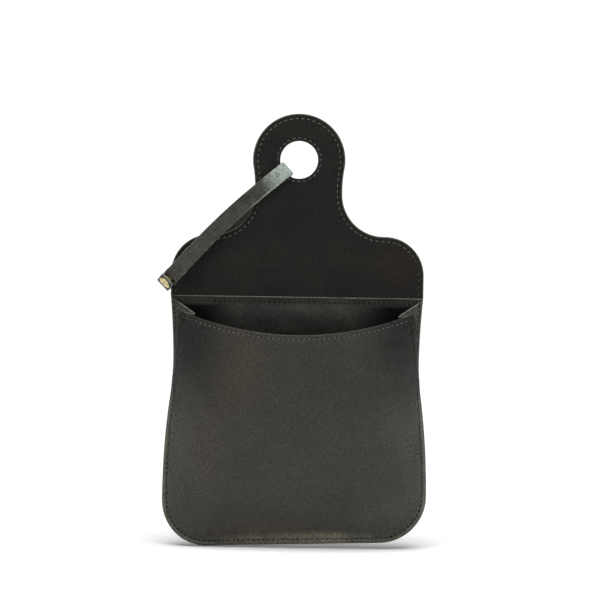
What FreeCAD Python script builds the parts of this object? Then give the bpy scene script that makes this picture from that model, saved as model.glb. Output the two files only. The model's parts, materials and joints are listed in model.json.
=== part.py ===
import FreeCAD, Part
import math
import os
import Sketcher
from FreeCAD import Placement, Rotation, Vector

# A leather treat pouch with its flap stood open. +Z is up, the front faces -Y and X runs
# to the right. The origin is the middle of the pouch's rear face, where it lies on a hip.

doc = FreeCAD.newDocument("TreatPouch")
sheet = doc.addObject("Spreadsheet::Sheet", "Sizes")

# name, millimetres or degrees, meaning
sizes = [
    ("foldHeight", 75, "fold line above the middle of the rear face"),
    ("pouchHeight", 149.7, "fold line to bottom edge"),
    ("topHalfWidth", 76.5, "half width at the fold line"),
    ("waistIn", 2.1, "waist's edge inside the fold line's end"),
    ("waistDrop", 44, "waist below the fold line"),
    ("waistRadius", 120, "concave edge below the waist"),
    ("hipOut", 3.5, "hip's edge outside the fold line's end"),
    ("cornerRadius", 27.7, "bottom corners"),
    ("backThickness", 1.4, "outer leather"),
    ("liningThickness", 1.2, "lining inside the pouch's back"),
    ("liningInset", 0.4, "lining's edge inside the outer leather's edge"),
    ("flapLiningThickness", 0.8, "lining on the flap's inner face"),
    ("shoulderHeight", 37.2, "flap's shoulders above the fold line"),
    ("shoulderRadius", 23.6, "flap's shoulder corners"),
    ("neckRadius", 25.3, "concave foot of the flap's neck"),
    ("throatIn", 1.6, "neck's narrowest half width, inside the ring's radius"),
    ("throatRadius", 80, "slack concave side of the neck under the ring"),
    ("ringHeight", 83, "hole's centre above the fold line"),
    ("ringRadius", 28, "outer radius of the ring"),
    ("holeRadius", 11.4, "hole through the ring"),
    ("bridgeLength", 34, "fold line to the line where the flap wraps over the front"),
    ("mouthIn", 7.1, "front panel's top corners inside the fold line's end"),
    ("mouthCornerDrop", 9, "front panel's corners below the fold line"),
    ("mouthDip", 13.7, "middle of the mouth edge below its corners"),
    ("mouthDepth", 31, "front panel off the lining at the middle of the mouth"),
    ("cornerDepth", 22, "front panel off the lining at its top corners"),
    ("bellyGain", 0.12, "extra depth of the belly, as a share of the depth"),
    ("domePower", 1.4, "how long the middle of the front stays full on its way down"),
    ("domeEase", 0.15, "how softly the front meets the seam"),
    ("sideEnd", 50, "front panel meets the back below the fold line"),
    ("frontThickness", 1.5, "front panel's leather"),
    ("frontInset", 1.2, "front panel's seam edge inside the back's edge"),
    ("seamGap", 0.15, "front panel's seam edge off the lining"),
    ("facingThickness", 0.8, "facing behind the mouth's edge"),
    ("facingShare", 0.11, "facing's share of the way down the front"),
    ("facingEnd", 0.02, "facing's and thread rows' ends off the front's sides, as a share"),
    ("gussetThickness", 1, "gusset leather"),
    ("gussetFoldIn", 17.8, "gusset's inner fold inside the fold line's end"),
    ("gussetFoldDrop", 11.8, "gusset's inner fold below the fold line"),
    ("gussetTopDrop", 1.6, "gusset's rear corner below the fold line"),
    ("gussetEdge", 1.6, "gusset inside the panel edges"),
    ("gussetGap", 0.25, "gusset off the lining and the front panel"),
    ("strapAngle", 43.9, "strap's slope below the horizontal, to the left"),
    ("strapShift", 1, "strap's middle above the line through the hole's centre"),
    ("strapWidth", 9.5, "loop strap"),
    ("strapThickness", 1.5, "loop strap"),
    ("rimGap", 0.4, "strap off the ring's rim and front face"),
    ("backGap", 0.5, "strap's rear run behind the flap"),
    ("endGap", 0.25, "tab off the flap's edge"),
    ("strapBow", 1.9, "front run's rise at its middle"),
    ("strapMiddle", 60, "middle of the front run from the hole's centre"),
    ("strapRise", 10.2, "front run's rise at the loop's end"),
    ("bowRadius", 60, "front run's gentle bend"),
    ("bendRadius", 1.5, "middle of the leather at the loop's end"),
    ("rimBend", 1.2, "middle of the leather where it turns round the rim"),
    ("tabTilt", 68, "tab's face from the strap's face"),
    ("tabLength", 12.6, "tab from its bend line to its free end"),
    ("tabCorner", 2.4, "round corners of the tab's free end"),
    ("tabGap", 1.8, "tab off the strap's end beneath it"),
    ("snapOffset", 8, "snap's centre from the tab's bend line"),
    ("capRadius", 4.2, "snap cap"),
    ("capHeight", 1.2, "snap cap"),
    ("capEdge", 0.85, "snap cap's rounded rim"),
    ("shankRadius", 1.2, "cap's shank through the tab"),
    ("socketRadius", 3.6, "snap socket"),
    ("socketBore", 2.1, "snap socket's bore"),
    ("socketHeight", 1.2, "snap socket"),
    ("studRadius", 3, "stud's flange"),
    ("studFlange", 0.4, "stud's flange"),
    ("ballRadius", 1.5, "stud's ball"),
    ("ballEdge", 0.5, "ball's rounded top"),
    ("ballClear", 0.5, "ball's top under the tab"),
    ("postRadius", 1, "stud's rivet post"),
    ("rivetClear", 0.15, "clearance round rivet shanks"),
    ("postFlange", 0.6, "post's head inside the loop"),
    ("threadWidth", 0.6, "thread rows"),
    ("threadHeight", 0.25, "thread rows"),
    ("threadBreak", 0.4, "thread rows stop short of the wrap line"),
    ("edgeInset", 2.8, "flap's thread row from the edge"),
    ("holeInset", 1.5, "thread row round the hole"),
    ("topInset", 3, "thread row below the fold line"),
    ("topEnd", 7.2, "that row's ends inside the fold line's ends"),
    ("seamInset", 2.4, "perimeter thread row from the edge"),
    ("strapInset", 3, "strap's thread row from its lower edge"),
    ("rowEnd", 0.04, "strap's thread row short of its bends, as a share of the run"),
]
sheet.set("A1", "name")
sheet.set("B1", "value")
sheet.set("C1", "meaning")
for row, (name, value, meaning) in enumerate(sizes, start=2):
    sheet.set("A%d" % row, name)
    sheet.set("B%d" % row, str(value))
    sheet.set("C%d" % row, meaning)
    sheet.setAlias("B%d" % row, name)
doc.recompute()


def size(expression):
    return float(sheet.evalExpression(expression))


def named(name):
    return "Sizes.%s" % name


# ---- shared places, as expressions of the sheet
fold = "Sizes.foldHeight"
waistHalfWidth = "(Sizes.topHalfWidth - Sizes.waistIn)"
hipHalfWidth = "(Sizes.topHalfWidth + Sizes.hipOut)"
flapThickness = "(Sizes.backThickness + Sizes.flapLiningThickness)"
wallThickness = "(Sizes.backThickness + Sizes.liningThickness)"
ringCentre = "(Sizes.foldHeight + Sizes.ringHeight)"
frontFace = "(Sizes.backThickness + Sizes.liningThickness + Sizes.seamGap)"

parts = []


def keep(item, label):
    item.Label = label
    parts.append(item)
    return item


# ---- sketched outlines
def addArc(sketch, start, end, radius, side, major):
    # an arc from start to end that bulges to its left (side 1) or right (side -1)
    chord = end - start
    half = chord.Length / 2
    reach = math.sqrt(max(radius * radius - half * half, 0))
    rise = radius + reach if major else radius - reach
    normal = Vector(-chord.y, chord.x, 0).normalize()
    middle = (start + end) * 0.5 + normal * (rise * side)
    return sketch.addGeometry(Part.Arc(start, middle, end))


def drawOutline(sketch, corners, bends):
    # a closed outline through corners, each an (x, y) pair of expressions; bends holds, for
    # the piece that follows each corner, None or (radius expression, side, major)
    spots = [Vector(size(x), size(y), 0) for x, y in corners]
    ends = []
    for number, bend in enumerate(bends):
        start = spots[number]
        end = spots[(number + 1) % len(spots)]
        if bend is None:
            piece = sketch.addGeometry(Part.LineSegment(start, end))
        else:
            piece = addArc(sketch, start, end, size(bend[0]), bend[1], bend[2])
        forward = (sketch.getPoint(piece, 1) - start).Length < (sketch.getPoint(piece, 2) - start).Length
        ends.append((piece, 1, 2) if forward else (piece, 2, 1))
    for number, (x, y) in enumerate(corners):
        piece, first, last = ends[number]
        before = ends[number - 1]
        sketch.addConstraint(Sketcher.Constraint("Coincident", before[0], before[2], piece, first))
        for kind, expression in (("DistanceX", x), ("DistanceY", y)):
            place = Sketcher.Constraint(kind, -1, 1, piece, first, size(expression))
            sketch.setExpression("Constraints[%d]" % sketch.addConstraint(place), expression)
    for number, bend in enumerate(bends):
        if bend is not None:
            round_ = Sketcher.Constraint("Radius", ends[number][0], size(bend[0]))
            sketch.setExpression("Constraints[%d]" % sketch.addConstraint(round_), bend[0])


def mirrored(half, bends, last):
    # the whole outline from its right half, listed from the top middle's right neighbour down
    corners = half + [("-(%s)" % x, y) for x, y in reversed(half)]
    return corners, bends + [last[0]] + list(reversed(bends)) + [last[1]]


def pouchOutline(sketch, inset, drop):
    # top edge, slight waist, hips and round bottom corners
    fall = "(Sizes.pouchHeight - Sizes.cornerRadius - Sizes.waistDrop)"
    spread = "(Sizes.hipOut + Sizes.waistIn)"
    turn = "(2 * atan(%s / %s))" % (spread, fall)
    hipRadius = "(%s / sin(%s) - Sizes.waistRadius)" % (fall, turn)
    upperRadius = "((Sizes.waistDrop ^ 2 + Sizes.waistIn ^ 2) / (2 * Sizes.waistIn))"
    waistZ = "(%s - Sizes.waistDrop)" % fold
    hipZ = "(%s - Sizes.pouchHeight + Sizes.cornerRadius)" % fold
    bottomZ = "(%s - Sizes.pouchHeight + %s)" % (fold, inset)
    topX = "(%s + %s - sqrt((%s + %s) ^ 2 - (Sizes.waistDrop - %s) ^ 2))" % (
        waistHalfWidth, upperRadius, upperRadius, inset, drop)
    half = [
        (topX, "%s - %s" % (fold, drop)),
        ("%s - %s" % (waistHalfWidth, inset), waistZ),
        ("%s + Sizes.waistRadius - (Sizes.waistRadius + %s) * cos(%s)" % (waistHalfWidth, inset, turn),
         "%s - (Sizes.waistRadius + %s) * sin(%s)" % (waistZ, inset, turn)),
        ("%s - %s" % (hipHalfWidth, inset), hipZ),
        ("%s - Sizes.cornerRadius" % hipHalfWidth, bottomZ),
    ]
    bends = [
        ("%s + %s" % (upperRadius, inset), -1, False),
        ("Sizes.waistRadius + %s" % inset, -1, False),
        ("%s - %s" % (hipRadius, inset), 1, False),
        ("Sizes.cornerRadius - %s" % inset, 1, False),
    ]
    drawOutline(sketch, *mirrored(half, bends, (None, None)))


def flapOutline(sketch, inset, drop):
    # bottom edge, round shoulders, a concave neck of two arcs and a round ring
    reach = "(Sizes.ringRadius + Sizes.throatRadius)"
    throatX = "(%s - Sizes.throatIn)" % reach
    throatDrop = "sqrt(Sizes.throatIn * (2 * %s - Sizes.throatIn))" % reach
    throatZ = "(%s - %s)" % (ringCentre, throatDrop)
    neckZ = "(%s + Sizes.shoulderHeight + Sizes.neckRadius)" % fold
    step = "(Sizes.throatRadius - Sizes.neckRadius)"
    neckX = "(%s - sqrt(%s ^ 2 - (%s - %s) ^ 2))" % (throatX, step, neckZ, throatZ)
    share = "((Sizes.ringRadius - %s) / %s)" % (inset, reach)
    meet = "((Sizes.throatRadius + %s) / %s)" % (inset, step)
    shoulderZ = "(%s + Sizes.shoulderHeight - %s)" % (fold, inset)
    half = [
        ("%s * %s" % (throatX, share), "%s - %s * %s" % (ringCentre, throatDrop, share)),
        ("%s - (%s - %s) * %s" % (throatX, throatX, neckX, meet),
         "%s + (%s - %s) * %s" % (throatZ, neckZ, throatZ, meet)),
        (neckX, shoulderZ),
        ("Sizes.topHalfWidth - Sizes.shoulderRadius", shoulderZ),
        ("Sizes.topHalfWidth - %s" % inset, "%s + Sizes.shoulderHeight - Sizes.shoulderRadius" % fold),
        ("Sizes.topHalfWidth - %s" % inset, "%s - %s" % (fold, drop)),
    ]
    bends = [
        ("Sizes.throatRadius + %s" % inset, -1, False),
        ("Sizes.neckRadius + %s" % inset, -1, False),
        None,
        ("Sizes.shoulderRadius - %s" % inset, 1, False),
        None,
    ]
    drawOutline(sketch, *mirrored(half, bends, (None, ("Sizes.ringRadius - %s" % inset, 1, True))))


def originPlane(body, role):
    return [item for item in body.Origin.OriginFeatures if item.Role == role][0]


def addPlate(name, outline, inset, drop, depth, thickness):
    # a flat piece whose rear face lies depth in front of the origin plane
    body = doc.addObject("PartDesign::Body", name)
    sketch = body.newObject("Sketcher::SketchObject", name + "Sketch")
    sketch.AttachmentSupport = (originPlane(body, "XZ_Plane"), [""])
    sketch.MapMode = "FlatFace"
    outline(sketch, inset, drop)
    sketch.setExpression("AttachmentOffset.Base.z", depth)
    pad = body.newObject("PartDesign::Pad", name + "Pad")
    pad.Profile = sketch
    pad.setExpression("Length", thickness)
    return body


def addCylinderY(name, radius, z, front, length):
    # a cylinder along +Y above the origin that starts front millimetres in front of it
    item = doc.addObject("Part::Cylinder", name)
    item.setExpression("Radius", radius)
    item.setExpression("Height", length)
    item.Placement = Placement(Vector(), Rotation(Vector(1, 0, 0), -90))
    item.setExpression("Placement.Base.y", "-(%s)" % front)
    item.setExpression("Placement.Base.z", z)
    return item


def addBox(name, low, span):
    item = doc.addObject("Part::Box", name)
    for axis, side, start, length in zip("xyz", ("Length", "Width", "Height"), low, span):
        item.setExpression("Placement.Base.%s" % axis, start)
        item.setExpression(side, length)
    return item


def combine(kind, name, base, tool):
    item = doc.addObject("Part::" + kind, name)
    item.Base = base
    item.Tool = tool
    return item


# ---- the pouch's back: outer leather and lining
keep(addPlate("BackPanel", pouchOutline, "0", "0", "0", named("backThickness")), "back_panel")
keep(addPlate("BackLining", pouchOutline, named("liningInset"), "0",
              named("backThickness"), named("liningThickness")), "back_lining")

# ---- the flap: outer leather and lining, each bent along the wrap line
beyond = "(2 * %s)" % hipHalfWidth
twiceBeyond = "2 * " + beyond


def belowWrap(name, gap):
    # a block that holds all of the flap up to gap above the wrap line
    low = ("-" + beyond, "-" + beyond, "%s - %s" % (fold, beyond))
    height = "%s + Sizes.bridgeLength + %s" % (beyond, gap)
    return addBox(name, low, (twiceBeyond, twiceBeyond, height))


def splitFlap(name, plate, hole, labels, gap="0"):
    # the part below the wrap line, and the part above it with the ring's hole
    keep(combine("Common", name + "Bridge", plate, belowWrap(name + "Below", "(-%s)" % gap)), labels[0])
    upper = combine("Cut", name + "Upper", plate, belowWrap(name + "Under", gap))
    if hole is not None:
        upper = combine("Cut", name + "Main", upper, hole)
    return keep(upper, labels[1])


def ringHole(name):
    return addCylinderY(name, named("holeRadius"), ringCentre, beyond, twiceBeyond)


flapOuter = addPlate("FlapOuter", flapOutline, "0", "0", "0", named("backThickness"))
splitFlap("FlapOuter", flapOuter, ringHole("OuterHole"), ("bridge_panel", "flap_panel"))
flapInner = addPlate("FlapInner", flapOutline, named("liningInset"), "0",
                     named("backThickness"), named("flapLiningThickness"))
splitFlap("FlapInner", flapInner, ringHole("InnerHole"), ("bridge_lining", "flap_lining"))

# ---- thread rows on the flat leather
threadEnd = "(Sizes.%s + Sizes.threadWidth)"
flapRow = combine(
    "Cut", "FlapRow",
    addPlate("FlapRowOuter", flapOutline, named("edgeInset"), "0", flapThickness, named("threadHeight")),
    addPlate("FlapRowInner", flapOutline, threadEnd % "edgeInset", "1", flapThickness, named("threadHeight")))
splitFlap("FlapRow", flapRow, None, ("bridge_thread", "flap_thread"), named("threadBreak"))

holeRow = combine(
    "Cut", "HoleRow",
    addCylinderY("HoleRowOuter", "Sizes.holeRadius + Sizes.holeInset + Sizes.threadWidth", ringCentre,
                 "%s + Sizes.threadHeight" % flapThickness, named("threadHeight")),
    addCylinderY("HoleRowInner", "Sizes.holeRadius + Sizes.holeInset", ringCentre,
                 "%s + Sizes.threadHeight" % flapThickness, named("threadHeight")))
keep(holeRow, "ring_thread")

keep(addBox("TopRow",
            ("-(Sizes.topHalfWidth - Sizes.topEnd)",
             "-(%s + Sizes.threadHeight)" % wallThickness,
             "%s - Sizes.topInset - Sizes.threadWidth" % fold),
            ("2 * (Sizes.topHalfWidth - Sizes.topEnd)",
             named("threadHeight"),
             named("threadWidth"))), "top_thread")

sideRows = combine(
    "Cut", "SideRows",
    addPlate("SideRowOuter", pouchOutline, named("seamInset"), "0", wallThickness, named("threadHeight")),
    addPlate("SideRowInner", pouchOutline, threadEnd % "seamInset", "-1", wallThickness,
             named("threadHeight")))
sideBlock = addBox("SideBlock",
                   ("-" + beyond, "-" + beyond, "%s - Sizes.sideEnd" % fold),
                   (twiceBeyond, twiceBeyond, "Sizes.sideEnd - Sizes.topInset"))
keep(combine("Common", "SideRowEnds", sideRows, sideBlock), "side_thread")


# ---- the front: one curved skin from the mouth's edge to the seam
def seamCurve(inset):
    # the seam from the left side, round the bottom, to the right side, as equal steps
    sketch = doc.addObject("Sketcher::SketchObject", "SeamShape")
    pouchOutline(sketch, inset, "0")
    doc.recompute()
    edges = [edge for edge in sketch.Shape.Edges if min(v.Y for v in edge.Vertexes) < size(fold) - 1]
    wire = Part.Wire(Part.__sortEdges__(edges))
    spots = wire.discretize(Number=800)
    doc.removeObject(sketch.Name)
    if spots[0].x > 0:
        spots.reverse()
    end = size("%s - Sizes.sideEnd" % fold)
    return [spot for spot in spots if spot.y <= end]


def alongList(spots, share):
    place = share * (len(spots) - 1)
    low = min(int(place), len(spots) - 2)
    return spots[low] + (spots[low + 1] - spots[low]) * (place - low)


seamSpots = seamCurve(named("frontInset"))
cornerX = size("Sizes.topHalfWidth - Sizes.mouthIn")
cornerZ = size("%s - Sizes.mouthCornerDrop" % fold)
dip = size(named("mouthDip"))
mouthRadius = (cornerX * cornerX + dip * dip) / (2 * dip)
mouthSweep = math.asin(cornerX / mouthRadius)


def mouthSpot(share):
    # the mouth's edge is an arc that dips between the front panel's corners
    turn = (2 * share - 1) * mouthSweep
    drop = mouthRadius * (math.cos(turn) - math.cos(mouthSweep))
    return Vector(mouthRadius * math.sin(turn), cornerZ - drop, 0)


def frontSpot(across, down):
    # a point of the front panel's rear face: across runs left to right, down runs from the
    # mouth (0) to the seam (1), and the depth falls to nothing at the seam
    top = mouthSpot(across)
    low = alongList(seamSpots, across)
    flat = top + (low - top) * down
    middle = math.sin(math.pi * across)
    edgeDepth = size(named("cornerDepth")) - size(named("gussetEdge"))
    depth = edgeDepth + (size(named("mouthDepth")) - edgeDepth) * middle
    fullness = math.sqrt(middle)
    power = 1 + size(named("domePower")) * fullness
    dome = (1 - down ** power) ** (1 + size(named("domeEase")) * fullness)
    gain = 1 + size(named("bellyGain")) * middle * math.sin(math.pi * down)
    return Vector(flat.x, -(size(frontFace) + depth * dome * gain), flat.y)


def frontNormal(across, down):
    step = 0.004
    a = min(max(across, step), 1 - step)
    d = min(max(down, step), 1 - step)
    right = frontSpot(a + step, d) - frontSpot(a - step, d)
    below = frontSpot(a, d + step) - frontSpot(a, d - step)
    normal = below.cross(right).normalize()
    return normal if normal.y < 0 else normal * -1


def skinPatch(acrossRange, downRange, back, front, columns, rows):
    # a closed skin between two distances in front of the front panel's rear face
    faces = []
    for distance in (back, front):
        grid = []
        for i in range(columns):
            across = acrossRange[0] + (acrossRange[1] - acrossRange[0]) * i / (columns - 1)
            line = []
            for j in range(rows):
                down = downRange[0] + (downRange[1] - downRange[0]) * j / (rows - 1)
                line.append(frontSpot(across, down) + frontNormal(across, down) * distance)
            grid.append(line)
        surface = Part.BSplineSurface()
        surface.interpolate(grid)
        faces.append(surface.toShape())
    sides = []
    for one, two in zip(faces[0].Edges, faces[1].Edges):
        sides.append(Part.makeRuledSurface(one, two))
    shell = Part.makeShell(faces + sides)
    shell.sewShape()
    solid = Part.makeSolid(shell)
    if solid.Volume < 0:
        solid.reverse()
    return solid


def keepShape(name, shape, label, placement=None):
    item = doc.addObject("Part::Feature", name)
    item.Shape = shape
    if placement is not None:
        item.Placement = placement
    return keep(item, label)


skinColumns = 41
skinRows = 21
stripRows = 5
facingEnd = size(named("facingEnd"))
frontThickness = size(named("frontThickness"))
keepShape("FrontPanel", skinPatch((0, 1), (0, 1), 0, frontThickness, skinColumns, skinRows), "front_panel")
facingThickness = size(named("facingThickness"))
skinGap = size(named("seamGap")) / 2
keepShape("MouthFacing",
          skinPatch((facingEnd, 1 - facingEnd), (0, size(named("facingShare"))),
                    -facingThickness - skinGap, -skinGap, skinColumns, stripRows),
          "mouth_facing")


def frontDrop(across):
    # length of the front panel from the mouth to the seam, measured flat
    return (alongList(seamSpots, across) - mouthSpot(across)).Length


def frontRow(name, label, downs):
    # a thread row on the front panel's face, downs holding its two edges as (near, far) shares
    back = frontThickness + skinGap
    front = back + size(named("threadHeight"))
    across = (facingEnd, 1 - facingEnd)
    keepShape(name, skinPatch(across, downs, back, front, skinColumns, stripRows), label)


mouthInset = size(named("seamInset")) / frontDrop(0.5)
mouthWidth = size(named("threadWidth")) / frontDrop(0.5)
frontRow("MouthRow", "mouth_thread", (mouthInset, mouthInset + mouthWidth))
seamInset = size(named("seamInset")) / frontDrop(0.5)
frontRow("SeamRow", "seam_thread", (1 - seamInset - mouthWidth, 1 - seamInset))


# ---- gussets: each a V of two leather triangles, folded into the mouth
def triangle(corners, thickness, toward):
    # a flat triangle, thickened to the side that toward points to
    normal = (corners[1] - corners[0]).cross(corners[2] - corners[0]).normalize()
    if normal.dot(toward) < 0:
        normal = normal * -1
    face = Part.Face(Part.makePolygon(corners + corners[:1]))
    return face.extrude(normal * thickness)


def addGusset(side, name, label):
    edge = size(named("gussetEdge"))
    top = size(fold)
    gap = size(named("gussetGap"))
    liningY = -(size(wallThickness) + gap)
    thickness = size(named("gussetThickness"))
    end = size(named("sideEnd"))
    cornerY = frontSpot(0, 0).y
    rear = Vector(size(named("topHalfWidth")) - edge, liningY, top - size(named("gussetTopDrop")))
    innerX = size(named("topHalfWidth")) - size(named("gussetFoldIn"))
    inner = Vector(innerX, (rear.y + cornerY) / 2, top - size(named("gussetFoldDrop")))
    front = Vector(cornerX - gap, cornerY + gap, cornerZ - gap)
    low = Vector(size(waistHalfWidth) - 2 * edge, liningY - thickness, top - end + edge)
    spots = [Vector(side * v.x, v.y, v.z) for v in (rear, inner, front, low)]
    rear, inner, front, low = spots
    wall = triangle([rear, inner, low], thickness, Vector(side, 0.3, 0))
    face = triangle([front, inner, low], thickness, Vector(side, -0.3, 0))
    keepShape(name, wall.fuse(face).removeSplitter(), label)


addGusset(-1, "GussetLeft", "gusset_left")
addGusset(1, "GussetRight", "gusset_right")


# ---- the loop strap, in its own frame: X along the strap from beside the hole's centre, Y as
# the part's Y, Z across the strap
strapShift = size(named("strapShift"))
strapTurn = Rotation(Vector(0, 1, 0), 180 - size(named("strapAngle")))
strapStart = Vector(0, 0, size(ringCentre)) - strapTurn.multVec(Vector(0, 0, strapShift))
strapPlacement = Placement(strapStart, strapTurn)
strapThickness = size(named("strapThickness"))
strapWidth = size(named("strapWidth"))
tilt = math.radians(size(named("tabTilt")))
tabNormal = Vector(math.sin(tilt), -math.cos(tilt), 0)
tabAlong = Vector(-math.cos(tilt), -math.sin(tilt), 0)
# the tab turns round the flap's edge just past the line where the strap's lower edge crosses it
lowerEdge = "(Sizes.strapWidth / 2 - Sizes.strapShift)"
crossing = size("(Sizes.topHalfWidth + sin(Sizes.strapAngle) * %s) / cos(Sizes.strapAngle)" % lowerEdge)
slope = size("Sizes.backGap + %s" % flapThickness) / math.tan(tilt)
strapReach = crossing + size(named("endGap")) + slope
bend = Vector(strapReach, size(named("backGap")), 0)
rearY = size(named("backGap")) + strapThickness / 2
rimChord = size("sqrt(Sizes.holeRadius ^ 2 - (Sizes.strapWidth / 2 + Sizes.strapShift) ^ 2)")
rimX = rimChord - size(named("rimGap")) - strapThickness / 2
rimY = -(size(flapThickness) + size(named("rimGap")) + strapThickness / 2)
endStart = bend - tabNormal * (size(named("tabGap")) + strapThickness / 2)


def onEnd(y):
    # the point at height y on the middle of the leather under the tab
    return endStart + tabAlong * ((endStart.y - y) / math.sin(tilt))


def roundedPath(spots, radii):
    # straight runs joined by tangent arcs
    edges = []
    start = spots[0]
    for before, corner, after, radius in zip(spots, spots[1:], spots[2:], radii):
        into = (corner - before).normalize()
        out = (after - corner).normalize()
        turn = into.getAngle(out)
        reach = radius * math.tan(turn / 2)
        first = corner - into * reach
        last = corner + out * reach
        inward = (out - into).normalize()
        middle = corner + inward * (radius / math.cos(turn / 2) - radius)
        edges.append(Part.LineSegment(start, first).toShape())
        edges.append(Part.Arc(first, middle, last).toShape())
        start = last
    edges.append(Part.LineSegment(start, spots[-1]).toShape())
    return Part.Wire(edges)


def band(spots, radii, low, high, offset, thickness):
    # a strip along a path in the strap's frame, from low to high across the strap; offset
    # moves it to the left of the path's direction
    sides = []
    for distance in (offset - thickness / 2, offset + thickness / 2):
        moved = []
        for number, spot in enumerate(spots):
            into = (spot - spots[number - 1]).normalize() if number else None
            out = (spots[number + 1] - spot).normalize() if number + 1 < len(spots) else None
            if into is None or out is None:
                way = out if into is None else into
                moved.append(spot + Vector(-way.y, way.x, 0) * distance)
            else:
                turn = (Vector(-into.y, into.x, 0) + Vector(-out.y, out.x, 0)).normalize()
                moved.append(spot + turn * (distance / math.cos(into.getAngle(out) / 2)))
        signs = []
        for before, corner, after in zip(spots, spots[1:], spots[2:]):
            signs.append(1 if (corner - before).cross(after - corner).z > 0 else -1)
        sides.append(roundedPath(moved, [radius - distance * sign for radius, sign in zip(radii, signs)]))
    first, last = sides
    edges = first.Edges + last.Edges
    for index in (0, -1):
        one = first.OrderedVertexes[index].Point
        two = last.OrderedVertexes[index].Point
        edges.append(Part.LineSegment(one, two).toShape())
    face = Part.Face(Part.Wire(Part.__sortEdges__(edges)))
    face.translate(Vector(0, 0, low))
    return face.extrude(Vector(0, 0, high - low))


frontRise = Vector(size(named("strapMiddle")), rimY - size(named("strapBow")), 0)
endLow = size("%s + Sizes.rimGap" % flapThickness) + math.cos(tilt) * strapThickness / 2
strapPath = [
    onEnd(-endLow),
    onEnd(-size(named("strapRise"))),
    frontRise,
    Vector(rimX, rimY, 0),
    Vector(rimX, rearY, 0),
    Vector(bend.x, rearY, 0),
]
bowRadius = size(named("bowRadius"))
rimBend = size(named("rimBend"))
strapRadii = [size(named("bendRadius")), bowRadius, rimBend, rimBend]
strapBand = band(strapPath, strapRadii, -strapWidth / 2, strapWidth / 2, 0, strapThickness)


# the tab lies straight along X from its bend line, and is then folded up over the strap's end
tabFold = Placement(bend, Rotation(Vector(0, 0, 1), -(180 - size(named("tabTilt")))))
snapX = size(named("snapOffset"))


def alongSnap(radius, low, high):
    # a cylinder on the snap's axis, from low to high along the tab's outward normal
    return Part.makeCylinder(radius, high - low, Vector(snapX, low, 0), Vector(0, 1, 0))


strapInner = -size(named("tabGap"))
strapUnder = strapInner - strapThickness
rivetClear = size(named("rivetClear"))
postHole = alongSnap(size(named("postRadius")) + rivetClear,
                     strapUnder - strapThickness, strapInner + strapThickness)
postHole.Placement = tabFold.multiply(postHole.Placement)
keepShape("Strap", strapBand.cut(postHole), "strap", strapPlacement)

tabLength = size(named("tabLength"))
tab = Part.makeBox(tabLength, strapThickness, strapWidth, Vector(0, 0, -strapWidth / 2))
tabEnd = [edge for edge in tab.Edges
          if edge.BoundBox.XMin > tabLength / 2 and edge.BoundBox.YLength > strapThickness / 2]
tab = tab.makeFillet(size(named("tabCorner")), tabEnd)
shankRadius = size(named("shankRadius"))
tab = tab.cut(alongSnap(shankRadius + rivetClear, -strapThickness, 2 * strapThickness))
tabPlacement = strapPlacement.multiply(tabFold)
keepShape("StrapTab", tab, "strap_tab", tabPlacement)

capRadius = size(named("capRadius"))
capHeight = size(named("capHeight"))
cap = alongSnap(capRadius, strapThickness, strapThickness + capHeight)
rim = [edge for edge in cap.Edges if edge.BoundBox.YMin > strapThickness + capHeight / 2]
cap = cap.makeFillet(size(named("capEdge")), rim)
keepShape("SnapCap", cap.fuse(alongSnap(shankRadius, rivetClear, strapThickness)), "snap_cap", tabPlacement)

socket = alongSnap(size(named("socketRadius")), -size(named("socketHeight")), 0)
socket = socket.cut(alongSnap(size(named("socketBore")), -2 * size(named("socketHeight")), strapThickness))
keepShape("SnapSocket", socket, "snap_socket", tabPlacement)

studTop = strapInner + size(named("studFlange"))
stud = alongSnap(size(named("studRadius")), strapInner, studTop)
ball = alongSnap(size(named("ballRadius")), strapInner, -size(named("ballClear")))
crown = [edge for edge in ball.Edges if edge.BoundBox.YMin > studTop]
ball = ball.makeFillet(size(named("ballEdge")), crown[:1])
keepShape("SnapStud", stud.fuse(ball), "snap_stud", tabPlacement)

post = alongSnap(size(named("studRadius")), strapUnder - size(named("postFlange")), strapUnder)
post = post.fuse(alongSnap(size(named("postRadius")), strapUnder, strapInner))
keepShape("SnapPost", post, "snap_post", tabPlacement)

strapRowZ = strapWidth / 2 - size(named("strapInset"))
rowEnd = size(named("rowEnd"))
rowPath = [strapPath[1] + (frontRise - strapPath[1]) * rowEnd,
           frontRise,
           strapPath[3] + (frontRise - strapPath[3]) * rowEnd]
rowOffset = strapThickness / 2 + size(named("threadHeight")) / 2
keepShape("StrapRow", band(rowPath, [bowRadius], strapRowZ, strapRowZ + size(named("threadWidth")),
                           rowOffset, size(named("threadHeight"))), "strap_thread", strapPlacement)


# ---- check every object, then write one file per piece
doc.recompute()
for item in doc.Objects:
    if "Invalid" in item.State or "Error" in item.State:
        raise RuntimeError("%s did not build: %s" % (item.Name, item.State))
for item in parts:
    if item.Shape.isNull() or not item.Shape.isValid() or not item.Shape.Solids:
        raise RuntimeError("%s has no valid solid" % item.Label)

os.makedirs("parts", exist_ok=True)
for item in parts:
    item.Shape.exportStep("parts/%s.step" % item.Label)
    box = item.Shape.BoundBox
    print("%-15s %2d solid(s) %9.1f mm3  X %.1f..%.1f  Y %.1f..%.1f  Z %.1f..%.1f" % (
        item.Label, len(item.Shape.Solids), item.Shape.Volume,
        box.XMin, box.XMax, box.YMin, box.YMax, box.ZMin, box.ZMax))
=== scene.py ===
import json
import math

import bmesh
import bpy
import numpy as np
from mathutils import Matrix, Vector, noise
from mathutils.geometry import delaunay_2d_cdt


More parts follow.
